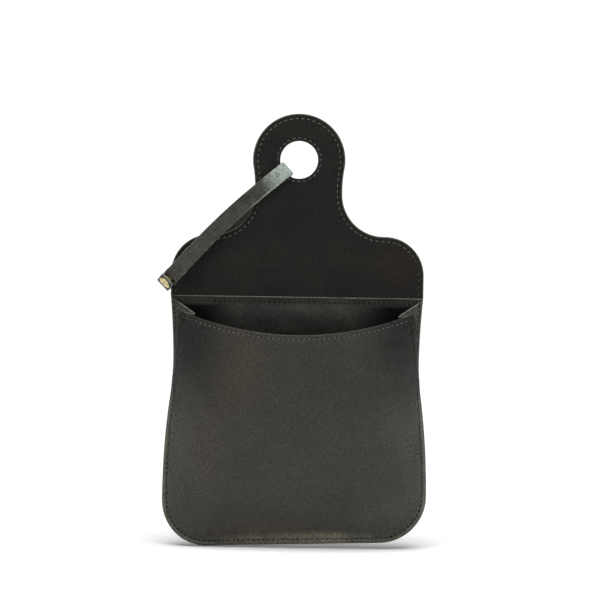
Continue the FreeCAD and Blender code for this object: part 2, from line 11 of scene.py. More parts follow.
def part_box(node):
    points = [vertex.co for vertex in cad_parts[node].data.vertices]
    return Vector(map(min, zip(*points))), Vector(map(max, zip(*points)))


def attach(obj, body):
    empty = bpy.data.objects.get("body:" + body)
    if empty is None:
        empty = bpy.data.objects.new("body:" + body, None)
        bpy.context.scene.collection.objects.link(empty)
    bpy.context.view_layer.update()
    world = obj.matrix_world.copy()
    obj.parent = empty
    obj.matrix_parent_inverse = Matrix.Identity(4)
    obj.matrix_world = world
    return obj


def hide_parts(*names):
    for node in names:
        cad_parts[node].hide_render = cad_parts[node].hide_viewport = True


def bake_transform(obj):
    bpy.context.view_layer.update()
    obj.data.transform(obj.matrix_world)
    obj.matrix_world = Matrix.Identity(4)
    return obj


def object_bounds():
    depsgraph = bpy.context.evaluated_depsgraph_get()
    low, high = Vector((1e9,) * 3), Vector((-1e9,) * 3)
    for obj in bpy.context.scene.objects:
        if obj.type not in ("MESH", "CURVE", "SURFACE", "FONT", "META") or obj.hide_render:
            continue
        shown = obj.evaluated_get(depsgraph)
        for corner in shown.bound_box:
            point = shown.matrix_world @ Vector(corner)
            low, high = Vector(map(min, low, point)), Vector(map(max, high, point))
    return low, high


# A leather treat pouch with its flap stood open: soft panels, folded gussets, a loop strap with
# a snap tab, and rows of stitches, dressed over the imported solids. Shapes are worked out in
# millimetres in the part's frame and turned into metres once, when a piece is made.

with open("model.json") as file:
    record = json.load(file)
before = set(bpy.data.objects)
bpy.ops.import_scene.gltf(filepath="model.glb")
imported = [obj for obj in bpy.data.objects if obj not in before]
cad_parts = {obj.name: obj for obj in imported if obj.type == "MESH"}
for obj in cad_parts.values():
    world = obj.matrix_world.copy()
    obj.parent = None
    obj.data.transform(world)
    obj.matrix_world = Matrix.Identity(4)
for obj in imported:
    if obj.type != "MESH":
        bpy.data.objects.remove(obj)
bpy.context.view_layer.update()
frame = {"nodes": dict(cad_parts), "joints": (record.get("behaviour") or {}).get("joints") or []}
mm = 0.001


def low(node):
    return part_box(node)[0] / mm


def high(node):
    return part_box(node)[1] / mm


foldZ = high("back_panel").z
wrapZ = high("bridge_panel").z
bottomZ = low("back_panel").z
topHalf = high("bridge_panel").x
hipHalf = high("back_panel").x
outerY = low("back_panel").y
liningY = low("back_lining").y
flapY = low("bridge_lining").y
ringZ = (low("ring_thread").z + high("ring_thread").z) / 2
ringOuter = high("flap_panel").z - ringZ
splitZ = (foldZ + wrapZ) / 2
liningInset = topHalf - high("bridge_lining").x
print("stage: frame loaded,", len(frame["nodes"]), "nodes")


# Nodes: a value that is another node's output is linked, any other is set
def fill(tree, node, values):
    for name, value in values.items():
        if isinstance(value, bpy.types.NodeSocket):
            tree.links.new(value, node.inputs[name])
        else:
            node.inputs[name].default_value = value


def addNode(tree, kind, values=None, **facts):
    node = tree.nodes.new(kind)
    for name, value in facts.items():
        setattr(node, name, value)
    fill(tree, node, values or {})
    return node.outputs


def noiseNode(tree, coords, scale, detail, rough, distortion, seed):
    return addNode(tree, "ShaderNodeTexNoise", {
        "Vector": coords, "Scale": scale, "Detail": detail, "Roughness": rough,
        "Distortion": distortion, "W": seed}, noise_dimensions="4D")["Fac"]


def rangeNode(tree, value, start, end, toStart, toEnd):
    return addNode(tree, "ShaderNodeMapRange", {
        "Value": value, "From Min": start, "From Max": end, "To Min": toStart, "To Max": toEnd,
    })["Result"]


def mixNode(tree, share, one, two, blend="MIX"):
    return addNode(tree, "ShaderNodeMix", {0: share, 6: one, 7: two},
                   data_type="RGBA", blend_type=blend)[2]


def mathNode(tree, kind, one, two):
    return addNode(tree, "ShaderNodeMath", {0: one, 1: two}, operation=kind)[0]


def timesNode(tree, one, two):
    return mathNode(tree, "MULTIPLY", one, two)


def addShares(tree, total, *parts):
    # a total with the parts added, each of them an output and its share
    for part, share in parts:
        total = mathNode(tree, "ADD", total, timesNode(tree, part, share))
    return total


def bumpNode(tree, height, strength, distance):
    values = {"Height": height, "Strength": strength, "Distance": distance}
    return addNode(tree, "ShaderNodeBump", values)["Normal"]


def attributeNode(tree, key):
    return addNode(tree, "ShaderNodeAttribute", attribute_name=key)["Fac"]


def newMaterial(name):
    material = bpy.data.materials.new(name)
    material.use_nodes = True
    tree = material.node_tree
    return material, tree, tree.nodes["Principled BSDF"], addNode(tree, "ShaderNodeTexCoord")["Object"]


def rgb(red, green, blue):
    return (red, green, blue, 1.0)


# Materials
def leatherMaterial(name, look):
    material, tree, shader, coords = newMaterial(name)
    seed, grain = look["seed"], look["grainScale"]
    # the wear mark lightens towards the raw edge colour, as real wear and, where a piece adds it, painted
    # highlight; the soil mark darkens towards a near-black tone and roughens, as painted shade; the tan
    # mark adds a brown tone, real on the flap and partly painted highlight on the front
    worn, paintedShading, tannedAndHighlit = (attributeNode(tree, key) for key in ("wearAndHighlight", "soil", "tan"))
    clouds = noiseNode(tree, coords, look["cloudScale"], 5, 0.6, 0.6, seed)
    stains = noiseNode(tree, coords, look["cloudScale"] * 3.1, 6, 0.65, 1.2, seed + 3)
    flecks = noiseNode(tree, coords, look["fleckScale"], 3, 0.7, 0.0, seed + 7)
    speckle = noiseNode(tree, coords, grain * 1.2, 1, 0.5, 0.0, seed + 5)
    speckle = rangeNode(tree, speckle, 0.25, 0.75, -look["speckle"], look["speckle"])
    ragged = timesNode(tree, worn, rangeNode(tree, stains, 0.3, 0.6, 0.55, 1.15))
    base = look["dark"]
    for share, color in (
            (rangeNode(tree, clouds, 0.36, 0.66, 0, 1), look["light"]),
            (rangeNode(tree, stains, 0.48, 0.72, 0, look["tintShare"]), look["tint"]),
            (rangeNode(tree, flecks, 0.6, 0.78, 0, look["fleckShare"]), look["fleck"]),
            (rangeNode(tree, ragged, 0.25, 0.85, 0, 1), look["raw"]),
            (timesNode(tree, tannedAndHighlit, look["tanShare"]), look["tan"]),
            (paintedShading, look["paintedShading"])):
        base = mixNode(tree, share, base, color)
    base = mixNode(tree, 1.0, base, mathNode(tree, "ADD", speckle, 1.0), "MULTIPLY")
    pores = addNode(tree, "ShaderNodeTexVoronoi", {"Vector": coords, "Scale": grain, "Randomness": 1.0},
                    feature="SMOOTH_F1")["Distance"]
    fine = noiseNode(tree, coords, grain * 2.3, 2, 0.5, 0.0, seed)
    folds = noiseNode(tree, coords, look["creaseScale"], 4, 0.55, 1.6, seed + 11)
    height = addShares(tree, timesNode(tree, pores, look["grain"]),
                       (fine, look["fine"]), (folds, look["crease"]))
    rough = rangeNode(tree, stains, 0.3, 0.7, look["roughLow"], look["roughHigh"])
    fill(tree, shader, {
        "Base Color": base, "Normal": bumpNode(tree, height, look["bump"], 0.0004),
        "Roughness": addShares(tree, rough, (ragged, 0.18), (paintedShading, 0.4), (speckle, -0.16)),
        "Specular IOR Level": look["specular"], "Specular Tint": look["gloss"],
        "Sheen Weight": look["sheen"], "Sheen Roughness": 0.45, "Sheen Tint": look["sheenTint"]})
    return material


outerLook = {
    "seed": 1.3, "cloudScale": 26, "fleckScale": 420, "creaseScale": 95, "grainScale": 950,
    "dark": rgb(0.0125, 0.0126, 0.0108), "light": rgb(0.026, 0.025, 0.0205),
    "tint": rgb(0.028, 0.019, 0.013), "tintShare": 0.5, "fleck": rgb(0.09, 0.085, 0.07),
    # the tan tone, which on the front also serves as painted highlight
    "fleckShare": 0.22, "raw": rgb(0.13, 0.12, 0.085), "tan": rgb(0.042, 0.028, 0.018), "tanShare": 0.6,
    # a near-black, cool tone for painted shade
    "paintedShading": rgb(0.0012, 0.0013, 0.0017), "speckle": 0.8, "grain": 1.0, "fine": 0.5, "crease": 0.9,
    "bump": 1.0, "roughLow": 0.32, "roughHigh": 0.46, "specular": 0.36, "gloss": rgb(0.97, 1.0, 0.92),
    "sheen": 0.03, "sheenTint": rgb(0.8, 0.78, 0.7),
}
# the lining in the pocket and behind the mouth: the same leather as on the flap, made lighter, as painted
# light
liningLook = dict(outerLook, seed=4.1, dark=rgb(0.016, 0.0168, 0.015), light=rgb(0.037, 0.038, 0.0315),
                  tint=rgb(0.014, 0.019, 0.013), fleckShare=0.1, grain=0.6, crease=0.4, bump=0.5,
                  roughLow=0.46, roughHigh=0.62, specular=0.11, gloss=rgb(0.94, 1.0, 0.95),
                  raw=rgb(0.18, 0.18, 0.145), speckle=0.5)
# the lining on the flap and bridge: the same leather made darker, as painted shade
flapLook = dict(liningLook, seed=6.4, dark=rgb(0.0048, 0.0051, 0.0053), light=rgb(0.0094, 0.0093, 0.0072),
                tint=rgb(0.007, 0.009, 0.007), specular=0.155, gloss=rgb(0.96, 1.0, 0.93),
                raw=rgb(0.07, 0.068, 0.055), roughLow=0.5, roughHigh=0.68, tan=rgb(0.015, 0.009, 0.007))
strapLook = dict(outerLook, seed=8.2, dark=rgb(0.012, 0.0118, 0.0105), light=rgb(0.035, 0.033, 0.028),
                 cloudScale=90, tint=rgb(0.045, 0.047, 0.04), tintShare=0.75, fleck=rgb(0.2, 0.21, 0.18),
                 fleckShare=0.4, fleckScale=600, raw=rgb(0.29, 0.335, 0.3), bump=0.8, speckle=0.6,
                 specular=0.4, roughLow=0.42, roughHigh=0.66, crease=1.1)
leatherOuter = leatherMaterial("leatherOuter", outerLook)
liningLeatherLit = leatherMaterial("liningLeatherLit", liningLook)
liningLeatherShaded = leatherMaterial("liningLeatherShaded", flapLook)
leatherStrap = leatherMaterial("leatherStrap", strapLook)


def threadMaterial(name, color, scale, specular, sheen):
    material, tree, shader, coords = newMaterial(name)
    soil = rangeNode(tree, noiseNode(tree, coords, scale, 3, 0.6, 0.0, 2.0), 0.35, 0.65, 0, 1)
    base = mixNode(tree, soil, color, rgb(*(0.45 * part for part in color[:3])))
    strands = noiseNode(tree, coords, 5200, 2, 0.5, 0.0, 5.0)
    fill(tree, shader, {
        "Base Color": mixNode(tree, attributeNode(tree, "grime"), base, rgb(0.007, 0.007, 0.006)),
        "Normal": bumpNode(tree, strands, 0.5, 0.0001), "Roughness": 0.62,
        "Specular IOR Level": specular, "Sheen Weight": sheen})
    return material


def brassMaterial():
    material, tree, shader, coords = newMaterial("brass")
    tarnish = noiseNode(tree, coords, 700, 5, 0.6, 0.8, 3.0)
    share = rangeNode(tree, tarnish, 0.42, 0.68, 0, 0.9)
    scratches = noiseNode(tree, coords, 3000, 2, 0.5, 2.0, 9.0)
    fill(tree, shader, {
        "Base Color": mixNode(tree, share, rgb(0.6, 0.53, 0.27), rgb(0.26, 0.19, 0.08)), "Metallic": 1.0,
        "Roughness": rangeNode(tree, tarnish, 0.3, 0.7, 0.34, 0.5),
        "Normal": bumpNode(tree, scratches, 0.15, 0.00005)})
    return material


threadPale = threadMaterial("threadPale", rgb(0.17, 0.17, 0.155), 260, 0.3, 0.1)
# needle pits: near-black and nearly without shine, painted shade for the holes
pitShadeMaterial = threadMaterial("needlePitShade", rgb(0.004, 0.004, 0.004), 200, 0.04, 0.0)
brass = brassMaterial()
print("stage: materials made")


# Mesh helpers
def place(name, data):
    item = bpy.data.objects.new(name, data)
    bpy.context.scene.collection.objects.link(item)
    return item


def arc(centre, radius, start, end, count):
    turns = np.radians(np.linspace(start, end, count))
    return np.stack([centre[0] + radius * np.cos(turns), centre[1] + radius * np.sin(turns)], axis=1)


def line(start, end, count):
    share = np.linspace(0, 1, count)[:, None]
    return np.array(start) * (1 - share) + np.array(end) * share


def joined(*runs):
    # runs end to end, without what they have twice where they meet
    return np.concatenate([runs[0]] + [run[1:] for run in runs[1:]])


def mirrored(side):
    # a right-hand run that ends on the middle line, followed by its mirror image
    return np.concatenate([side, (side * [-1, 1])[::-1][1:]])


def unit(vectors):
    return vectors / np.linalg.norm(vectors, axis=-1, keepdims=True)


def pathLength(run):
    return np.concatenate([[0], np.cumsum(np.linalg.norm(np.diff(run, axis=0), axis=1))])


def spread(first, last, step):
    return np.linspace(first, last, max(2, int(round((last - first) / step)) + 1))


def swell(gap, edge, power=2.4):
    # how much of its thickness a leather edge has at a distance in from its rim
    share = np.clip(1 - gap / edge, 0, 1)
    return (1 - share ** power) ** (1 / power)


def rumple(x, z, size, seed):
    spots = np.broadcast_arrays(x / size, z / size)
    flat = [noise.noise(Vector((a, b, seed))) for a, b in zip(spots[0].ravel(), spots[1].ravel())]
    return np.array(flat).reshape(spots[0].shape)


def groove(gap, at, width, depth):
    return depth * np.exp(-((gap - at) / width) ** 2)


def soften(value, start, end):
    share = np.clip((value - start) / (end - start), 0, 1)
    return share * share * (3 - 2 * share)


def spot(points, x, z, wide, tall):
    # one at a point of the flat pattern, fading to nothing around it
    return np.exp(-((points[:, 0] - x) / wide) ** 2 - ((points[:, 2] - z) / tall) ** 2)


def settled(points):
    # the soft pouch hangs a little lower at the left of its foot
    points = np.array(points, float)
    points[:, 2] += 0.03 * points[:, 0] * soften(foldZ - points[:, 2], 80, 150)
    return points


def addPiece(name, points, faces, wearAndHighlight, look):
    material, slotName = look["dress"]
    points = np.array(points, float)
    mesh = bpy.data.meshes.new(name)
    mesh.from_pydata((settled(points) * mm).tolist(), [], faces)
    # marks a look may give: the soil mark is painted shade; the tan mark is a brown tone, and on the
    # front also painted highlight
    marks = {key: look[key](points) for key in ("soil", "tan") if key in look}
    for key, values in {"wearAndHighlight": wearAndHighlight, **marks}.items():
        stored = mesh.attributes.new(key, "FLOAT", "POINT")
        stored.data.foreach_set("value", np.asarray(values, np.float32))
    work = bmesh.new()
    work.from_mesh(mesh)
    bmesh.ops.remove_doubles(work, verts=work.verts, dist=4e-7)
    bmesh.ops.dissolve_degenerate(work, edges=work.edges, dist=1e-7)
    gaps = [edge for edge in work.edges if edge.is_boundary]
    if gaps:
        bmesh.ops.holes_fill(work, edges=gaps, sides=0)
    bmesh.ops.recalc_face_normals(work, faces=work.faces)
    left = sum(1 for edge in work.edges if not edge.is_manifold)
    work.to_mesh(mesh)
    work.free()
    mesh.shade_smooth()
    mesh.set_sharp_from_angle(angle=math.radians(look.get("sharp", 48)))
    mesh.materials.append(material)
    piece = place(name, mesh)
    print("piece:", name, len(mesh.polygons), "faces,", left, "open edges")
    return piece


def sheetPiece(name, middle, normals, gap, look):
    # a sheet of leather from a grid of points on its middle, thinned to nothing at its rims
    rows, columns = gap.shape
    half = look["thickness"] / 2 * swell(gap, look["edge"])[..., None]
    points = np.concatenate([(middle + normals * half * side).reshape(-1, 3) for side in (1, -1)])
    starts = (np.arange(rows - 1)[:, None] * columns + np.arange(columns - 1)).reshape(-1, 1)
    quads = starts + [0, 1, columns + 1, columns]
    faces = np.concatenate([quads, quads[:, ::-1] + rows * columns]).tolist()
    # wear at the rims, raised by a look's extra marks: real wear, and painted highlight where a look
    # gives it
    wearAndHighlight = np.clip(1 - gap / look["wearWidth"], 0, 1) * look.get("rimShare", 1)
    wearAndHighlight = np.tile(np.maximum(wearAndHighlight, look.get("extraWearAndHighlight", 0)).ravel(), 2)
    return addPiece(name, points, faces, wearAndHighlight, look)


def inside(points, loop):
    # which points lie inside a closed loop
    x, z = points[:, 0][:, None], points[:, 1][:, None]
    one, two = loop, np.roll(loop, -1, axis=0)
    crosses = (one[:, 1] > z) != (two[:, 1] > z)
    rise = np.where(two[:, 1] == one[:, 1], 1e-12, two[:, 1] - one[:, 1])
    at = one[:, 0] + (z - one[:, 1]) / rise * (two[:, 0] - one[:, 0])
    return (np.sum(crosses & (x < at), axis=1) % 2) == 1


def loopGap(points, loop):
    nearest = np.full(len(points), 1e9)
    for x, z in loop:
        nearest = np.minimum(nearest, np.hypot(points[:, 0] - x, points[:, 1] - z))
    return nearest


def fillFaces(rim, holes, grid, clear=0.55):
    # triangles between a closed rim, its holes and the grid points that lie clear of both
    def between(points):
        return inside(points, rim) & ~np.any([inside(points, hole) for hole in holes], axis=0)

    keep = between(grid)
    edges, first = [], 0
    for loop in [rim] + holes:
        keep &= loopGap(grid, loop) > clear
        edges += [(first + i, first + (i + 1) % len(loop)) for i in range(len(loop))]
        first += len(loop)
    flat = np.concatenate([rim, *holes, grid[keep]])
    made = delaunay_2d_cdt([Vector(p) for p in flat], edges, [], 0, 1e-6)
    origin = [found[0] for found in made[3]]
    faces = np.array([[origin[i] for i in face] for face in made[2]])
    return flat, faces[between(flat[faces].mean(axis=1))]


wellInside = 99  # the inset of places beyond every edge and row


def slabPiece(name, chainAt, look, grid, closed=True, holeAt=None, cutCount=60):
    # a flat leather panel: rounded rims, rings of points that follow its edge, and a filled middle
    insets = [0, 0.03, 0.1, 0.22, look["edge"], 0.8, 1.5] + look["rings"]
    shapes = [chainAt] + ([holeAt] if holeAt else [])
    points, faces, wearAndHighlight = [], [], []
    middleY = (look["front"] + look["rear"]) / 2
    half = abs(look["rear"] - look["front"]) / 2
    for side in (-1, 1):
        for shapeAt in shapes:
            for level, inset in enumerate(insets):
                loop, first = shapeAt(inset), len(points)
                size = len(loop)
                y = middleY + side * half * swell(inset, look["edge"])
                y = y + look["relief"](loop[:, 0], loop[:, 1], inset, side)
                points.extend(zip(loop[:, 0], np.broadcast_to(y, size), loop[:, 1]))
                wearAndHighlight.extend([max(0.0, 1 - inset / look["wearWidth"])] * size)
                if level:
                    for i in range(size if closed or shapeAt is holeAt else size - 1):
                        j = (i + 1) % size
                        faces.append((first + i, first + j, first + j - size, first + i - size))
        rim, *holes = [shapeAt(insets[-1]) for shapeAt in shapes]
        rimCount = len(rim)
        if not closed:
            rim = joined(rim, line(rim[-1], rim[0], cutCount))[:-1]
        flat, triangles = fillFaces(rim, holes, grid)
        near = np.full(len(flat), float(wellInside))
        near[:rimCount] = insets[-1]
        near[len(rim):len(rim) + sum(map(len, holes))] = insets[-1]
        y = middleY + side * half + look["relief"](flat[:, 0], flat[:, 1], near, side)
        faces.extend((triangles + len(points)).tolist())
        points.extend(zip(flat[:, 0], y, flat[:, 1]))
        wearAndHighlight.extend([0.0] * len(flat))
    return addPiece(name, points, faces, wearAndHighlight, look)


# Outlines shared by the flat panels
outline = {
    "waistIn": 2.1, "waistDrop": 44, "waistRadius": 120, "hipDrop": 122, "cornerRadius": 27.7,
    "shoulderHeight": 37.2, "shoulderRadius": 23.6, "neckRadius": 25.3, "throatIn": 1.6,
    "throatRadius": 80, "holeRadius": 11.4, "ringReach": 19,
}
waistX = topHalf - outline["waistIn"]
waistZ = foldZ - outline["waistDrop"]
hipZ = foldZ - outline["hipDrop"]
upperRadius = (outline["waistDrop"] ** 2 + outline["waistIn"] ** 2) / (2 * outline["waistIn"])
upperTurn = math.degrees(math.asin(outline["waistDrop"] / upperRadius))
waistTurn = 2 * math.atan((hipHalf - waistX) / (waistZ - hipZ))
hipRadius = (waistZ - hipZ) / math.sin(waistTurn) - outline["waistRadius"]
shoulderX = topHalf - outline["shoulderRadius"]
shoulderZ = foldZ + outline["shoulderHeight"] - outline["shoulderRadius"]
neckZ = foldZ + outline["shoulderHeight"] + outline["neckRadius"]
throatReach = ringOuter + outline["throatRadius"]
throatX = throatReach - outline["throatIn"]
throatTurn = math.acos(throatX / throatReach)
throatZ = ringZ - throatReach * math.sin(throatTurn)
neckStep = outline["throatRadius"] - outline["neckRadius"]
neckTurn = math.asin((throatZ - neckZ) / neckStep)
neckX = throatX - neckStep * math.cos(neckTurn)
neckTurn = math.degrees(neckTurn)
throatTurn = math.degrees(throatTurn)


def pouchSide(inset):
    # the right edge from the fold line down and round to the middle of the bottom
    waist = outline["waistRadius"]
    out = np.array([math.cos(waistTurn), math.sin(waistTurn)])
    meet = np.array([waistX + waist, waistZ]) - out * waist
    turn = math.degrees(waistTurn)
    corner = outline["cornerRadius"]
    return joined(
        arc((waistX + upperRadius, waistZ), upperRadius + inset, 180 - upperTurn, 180, 34),
        arc((waistX + waist, waistZ), waist + inset, 180, 180 + turn, 12),
        arc(meet - out * hipRadius, hipRadius - inset, turn, 0, 38),
        arc((hipHalf - corner, bottomZ + corner), corner - inset, 0, -90, 30),
        line((hipHalf - corner, bottomZ + inset), (0, bottomZ + inset), 34))


def shoulderArc(inset, end, count):
    radius = outline["shoulderRadius"] - inset
    start = math.degrees(math.asin((splitZ - shoulderZ) / radius))
    return arc((shoulderX, shoulderZ), radius, start, end, count)


def bridgeSide(inset):
    # the right edge from the middle of the bridge down to the fold line
    x = topHalf - inset
    return joined(shoulderArc(inset, 0, 7), line((x, shoulderZ), (x, foldZ), 12))


def flapSide(inset):
    # the right edge from the middle of the bridge up round the shoulder, neck and ring
    neck, throat = outline["neckRadius"] + inset, outline["throatRadius"] + inset
    return np.concatenate([
        shoulderArc(inset, 90, 26),
        joined(arc((neckX, neckZ), neck, 270, 180 + neckTurn, 24),
               arc((throatX, throatZ), throat, 180 + neckTurn, 180 - throatTurn, 12),
               arc((0, ringZ), ringOuter - inset, -throatTurn, 90, 46))])


def pouchChain(inset):
    return mirrored(joined(bridgeSide(inset), pouchSide(inset)))


def flapChain(inset):
    return mirrored(flapSide(inset))


def liningChain(inset):
    return flapChain(inset + liningInset)


def holeChain(inset):
    return arc((0, ringZ), outline["holeRadius"] + inset, 0, 360 - 360 / 72, 72)


def gridSpots(half, step, zs):
    # grid points across a half width, with every second row shifted, for even triangles
    xs = spread(-half, half, step)
    step = xs[1] - xs[0]
    rows = [np.stack([xs + (step / 2 if i % 2 else 0), np.full(len(xs), z)], axis=1)
            for i, z in enumerate(zs)]
    return np.concatenate(rows)


# how far in from its edge each row of stitches lies, and how far it stands above its face
rowIn = {"top": 3.3, "topHalf": 69.3, "back": 2.7, "mouth": 2.7, "seam": 2.6, "flap": 3.0,
         "hole": 1.8, "stand": 0.1}


# Back of the pouch with the lower half of the bridge, in close rows about the fold line
def backRelief(x, z, inset, side):
    sag = 0.22 * rumple(x, z, 34, 2.2) * soften(foldZ - z, 6, 30)
    return sag - side * groove(inset, rowIn["back"], 0.55, 0.16)


backLook = {"front": outerY, "rear": 0, "edge": 0.45, "rings": [2.0, 2.4, 2.7, 3.0, 3.4, 4.4],
            "wearWidth": 0.8, "relief": backRelief, "dress": (leatherOuter, "leather_black")}
pouchRows = joined(spread(bottomZ + 3, foldZ - 8, 3.2), spread(foldZ - 8, splitZ - 0.8, 0.9))
pouchGrid = gridSpots(hipHalf, 3.2, pouchRows)
backPiece = slabPiece("backLeather", pouchChain, backLook, pouchGrid, closed=False)
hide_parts("back_panel", "bridge_panel")
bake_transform(backPiece)


# Flap with its ring, and its lining: both take in the upper half of the bridge
def flapRelief(x, z, inset, side):
    loose = soften(z, splitZ + 4, wrapZ + 12) * (1 - 0.8 * soften(z, ringZ - 40, ringZ - 20))
    row = np.where(np.hypot(x, z - ringZ) < outline["ringReach"], rowIn["hole"], rowIn["flap"])
    return 0.32 * rumple(x, z, 30, 5.1) * loose - side * groove(inset - row, 0, 0.5, 0.14)


def flapTan(points):
    # a brown cast on one shoulder
    return spot(points, 60, foldZ + 20, 15, 16)


flapRows = joined(spread(splitZ + 0.8, wrapZ - 9, 2.4), spread(wrapZ - 9, wrapZ + 9, 1.1),
                  spread(wrapZ + 9, ringZ + ringOuter, 2.6))
flapGrid = gridSpots(topHalf, 2.8, flapRows)
flapLeatherLook = dict(backLook, relief=flapRelief, rings=[2.2, 2.7, 3.0, 3.3, 3.8, 4.8])
flapPiece = slabPiece("flapLeather", flapChain, flapLeatherLook, flapGrid, False, holeChain)
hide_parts("flap_panel")
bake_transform(flapPiece)

flapLiningLook = dict(flapLeatherLook, front=flapY, rear=outerY, edge=0.3, tan=flapTan,
                      rings=[1.9, 2.3, 2.6, 2.9, 3.4, 4.4], dress=(liningLeatherShaded, "leather_lining"))
flapLining = slabPiece("flapLining", liningChain, flapLiningLook, flapGrid, False, holeChain)
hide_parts("flap_lining")
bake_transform(flapLining)
print("stage: back and flap leather made")


# Lower half of the bridge's lining, from the fold line up
def bridgeLoop(inset):
    # down the right side from the middle of the bridge, along the fold line and up the left
    side = bridgeSide(inset + liningInset)
    return joined(side, line(side[-1], side[-1] * [-1, 1], 60), (side * [-1, 1])[::-1])


bridgeGrid = gridSpots(topHalf, 2.8, spread(foldZ + 0.9, splitZ - 0.8, 0.9))
bridgeLining = slabPiece("bridgeLining", bridgeLoop, flapLiningLook, bridgeGrid, closed=False)
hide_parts("bridge_lining")
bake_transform(bridgeLining)


# Lining inside the back, with its cut edge along the fold line
def liningLoop(inset):
    side = pouchSide(inset + liningInset)
    side[:, 1] -= inset * (1 - np.minimum((foldZ - side[:, 1]) / 20, 1))
    ring = mirrored(side)
    return joined(ring, line(ring[-1], ring[0], 70))[:-1]


def liningRelief(x, z, inset, side):
    # pressed rows, soft buckles and a belly into the pocket, on the front face only
    drop = foldZ - z
    press = groove(drop, rowIn["top"], 0.6, 0.2) + groove(inset, 2.3, 0.5, 0.12)
    soft = 0.28 * rumple(x, z, 26, 9.4) * soften(drop, 7, 24) * soften(inset, 4, 8)
    belly = 2.6 * np.exp(-(x / 40) ** 2) * soften(drop, 2.8, 12) * (1 - 0.7 * soften(drop, 26, 80))
    return (press + soft - belly * soften(inset, 0.3, 4.4)) * (side < 0)


def pocketPaintedShade(points):
    # painted shade: the lining is made blackest deep in the pocket's top corners, where shade falls
    x, drop = np.abs(points[:, 0]), foldZ - points[:, 2]
    return soften(x, 34, 58) * soften(drop, 3.8, 6.5) * (1 - soften(x, topHalf - 6, topHalf - 2.5))


backLiningLook = {"front": liningY, "rear": outerY, "edge": 0.32, "rings": [1.8, 2.3, 2.8, 3.4, 4.4],
                  "wearWidth": 0.62, "relief": liningRelief, "soil": pocketPaintedShade,
                  "dress": (liningLeatherLit, "leather_lining")}
liningRows = joined(spread(bottomZ + 3, foldZ - 8, 3.2), spread(foldZ - 8, foldZ - 1.2, 0.7))
backLining = slabPiece("backLining", liningLoop, backLiningLook, gridSpots(hipHalf, 3.0, liningRows))
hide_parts("back_lining")
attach(backLining, "pouch")


# Front panel: a skin from the dipped mouth to the seam, domed in between
front = {
    "cornerDrop": 9, "mouthIn": 7.1, "mouthDip": 13.7, "mouthDepth": 31, "cornerDepth": 20.4,
    "bellyGain": 0.12, "domePower": 1.4, "domeEase": 0.15, "sideEnd": 50, "seamInset": 1.2,
    "seamGap": 0.15, "thickness": 1.5, "edge": 0.5, "wearWidth": 0.8, "creaseIn": 2.9,
    "width": 200, "dress": (leatherOuter, "leather_black"),
}
cornerX = topHalf - front["mouthIn"]
cornerZ = foldZ - front["cornerDrop"]
sideEndZ = foldZ - front["sideEnd"]
mouthRadius = (cornerX ** 2 + front["mouthDip"] ** 2) / (2 * front["mouthDip"])
mouthSweep = math.asin(cornerX / mouthRadius)


def seamRun():
    side = pouchSide(front["seamInset"])
    startX = np.interp(-sideEndZ, -side[:, 1], side[:, 0])
    return mirrored(np.concatenate([[[startX, sideEndZ]], side[side[:, 1] < sideEndZ]]))[::-1]


seamPoints = seamRun()
seamShares = pathLength(seamPoints) / pathLength(seamPoints)[-1]


def seamAt(shares):
    return np.stack([np.interp(shares, seamShares, seamPoints[:, i]) for i in (0, 1)], axis=-1)


seamDense = seamAt(np.linspace(0, 1, 620))


def skinEnds(across):
    # the flat places of the mouth's edge and the seam for a share of the way across
    turn = (2 * across - 1) * mouthSweep
    drop = mouthRadius * (np.cos(turn) - math.cos(mouthSweep))
    return np.stack([mouthRadius * np.sin(turn), cornerZ - drop], axis=-1), seamAt(across)


def skinFlat(across, down):
    top, bottom = skinEnds(across)
    return top + (bottom - top) * down[..., None]


def skinLength(across):
    top, bottom = skinEnds(across)
    return np.linalg.norm(bottom - top, axis=-1)


def skinRear(across, down):
    # the rear face of the front panel, without its fine relief
    flat = skinFlat(across, down)
    middle = np.sin(math.pi * across)
    depth = front["cornerDepth"] + (front["mouthDepth"] - front["cornerDepth"]) * middle
    fullness = np.sqrt(np.clip(middle, 0, 1))
    power = 1 + front["domePower"] * fullness
    dome = np.clip(1 - down ** power, 0, 1) ** (1 + front["domeEase"] * fullness)
    gain = 1 + front["bellyGain"] * middle * np.sin(math.pi * down)
    y = liningY - front["seamGap"] - depth * dome * gain
    return np.stack([flat[..., 0], y, flat[..., 1]], axis=-1)


def skinNormal(across, down, step=0.002):
    a = np.clip(across, step, 1 - step)
    d = np.clip(down, step, 1 - step)
    right = skinRear(a + step, d) - skinRear(a - step, d)
    below = skinRear(a, d + step) - skinRear(a, d - step)
    return unit(np.cross(below, right))


def seamReach(across, down):
    # how far places on the skin's flat pattern lie from the seam
    return loopGap(skinFlat(across, down).reshape(-1, 2), seamDense).reshape(down.shape)


def seamLine(across, gap, count=160):
    # the down shares of a line that runs a fixed distance in from the seam
    falls = 1 - np.linspace(0, 0.5, count) ** 2
    reach = seamReach(*np.meshgrid(across, falls, indexing="ij"))
    return np.array([np.interp(gap, np.maximum.accumulate(row), falls) for row in reach])


def sideReach(x, z):
    # how far a spot on the front lies inside its free side edge
    return np.interp(-z, [-cornerZ, -sideEndZ], [cornerX, hipHalf - 6]) - np.abs(x)


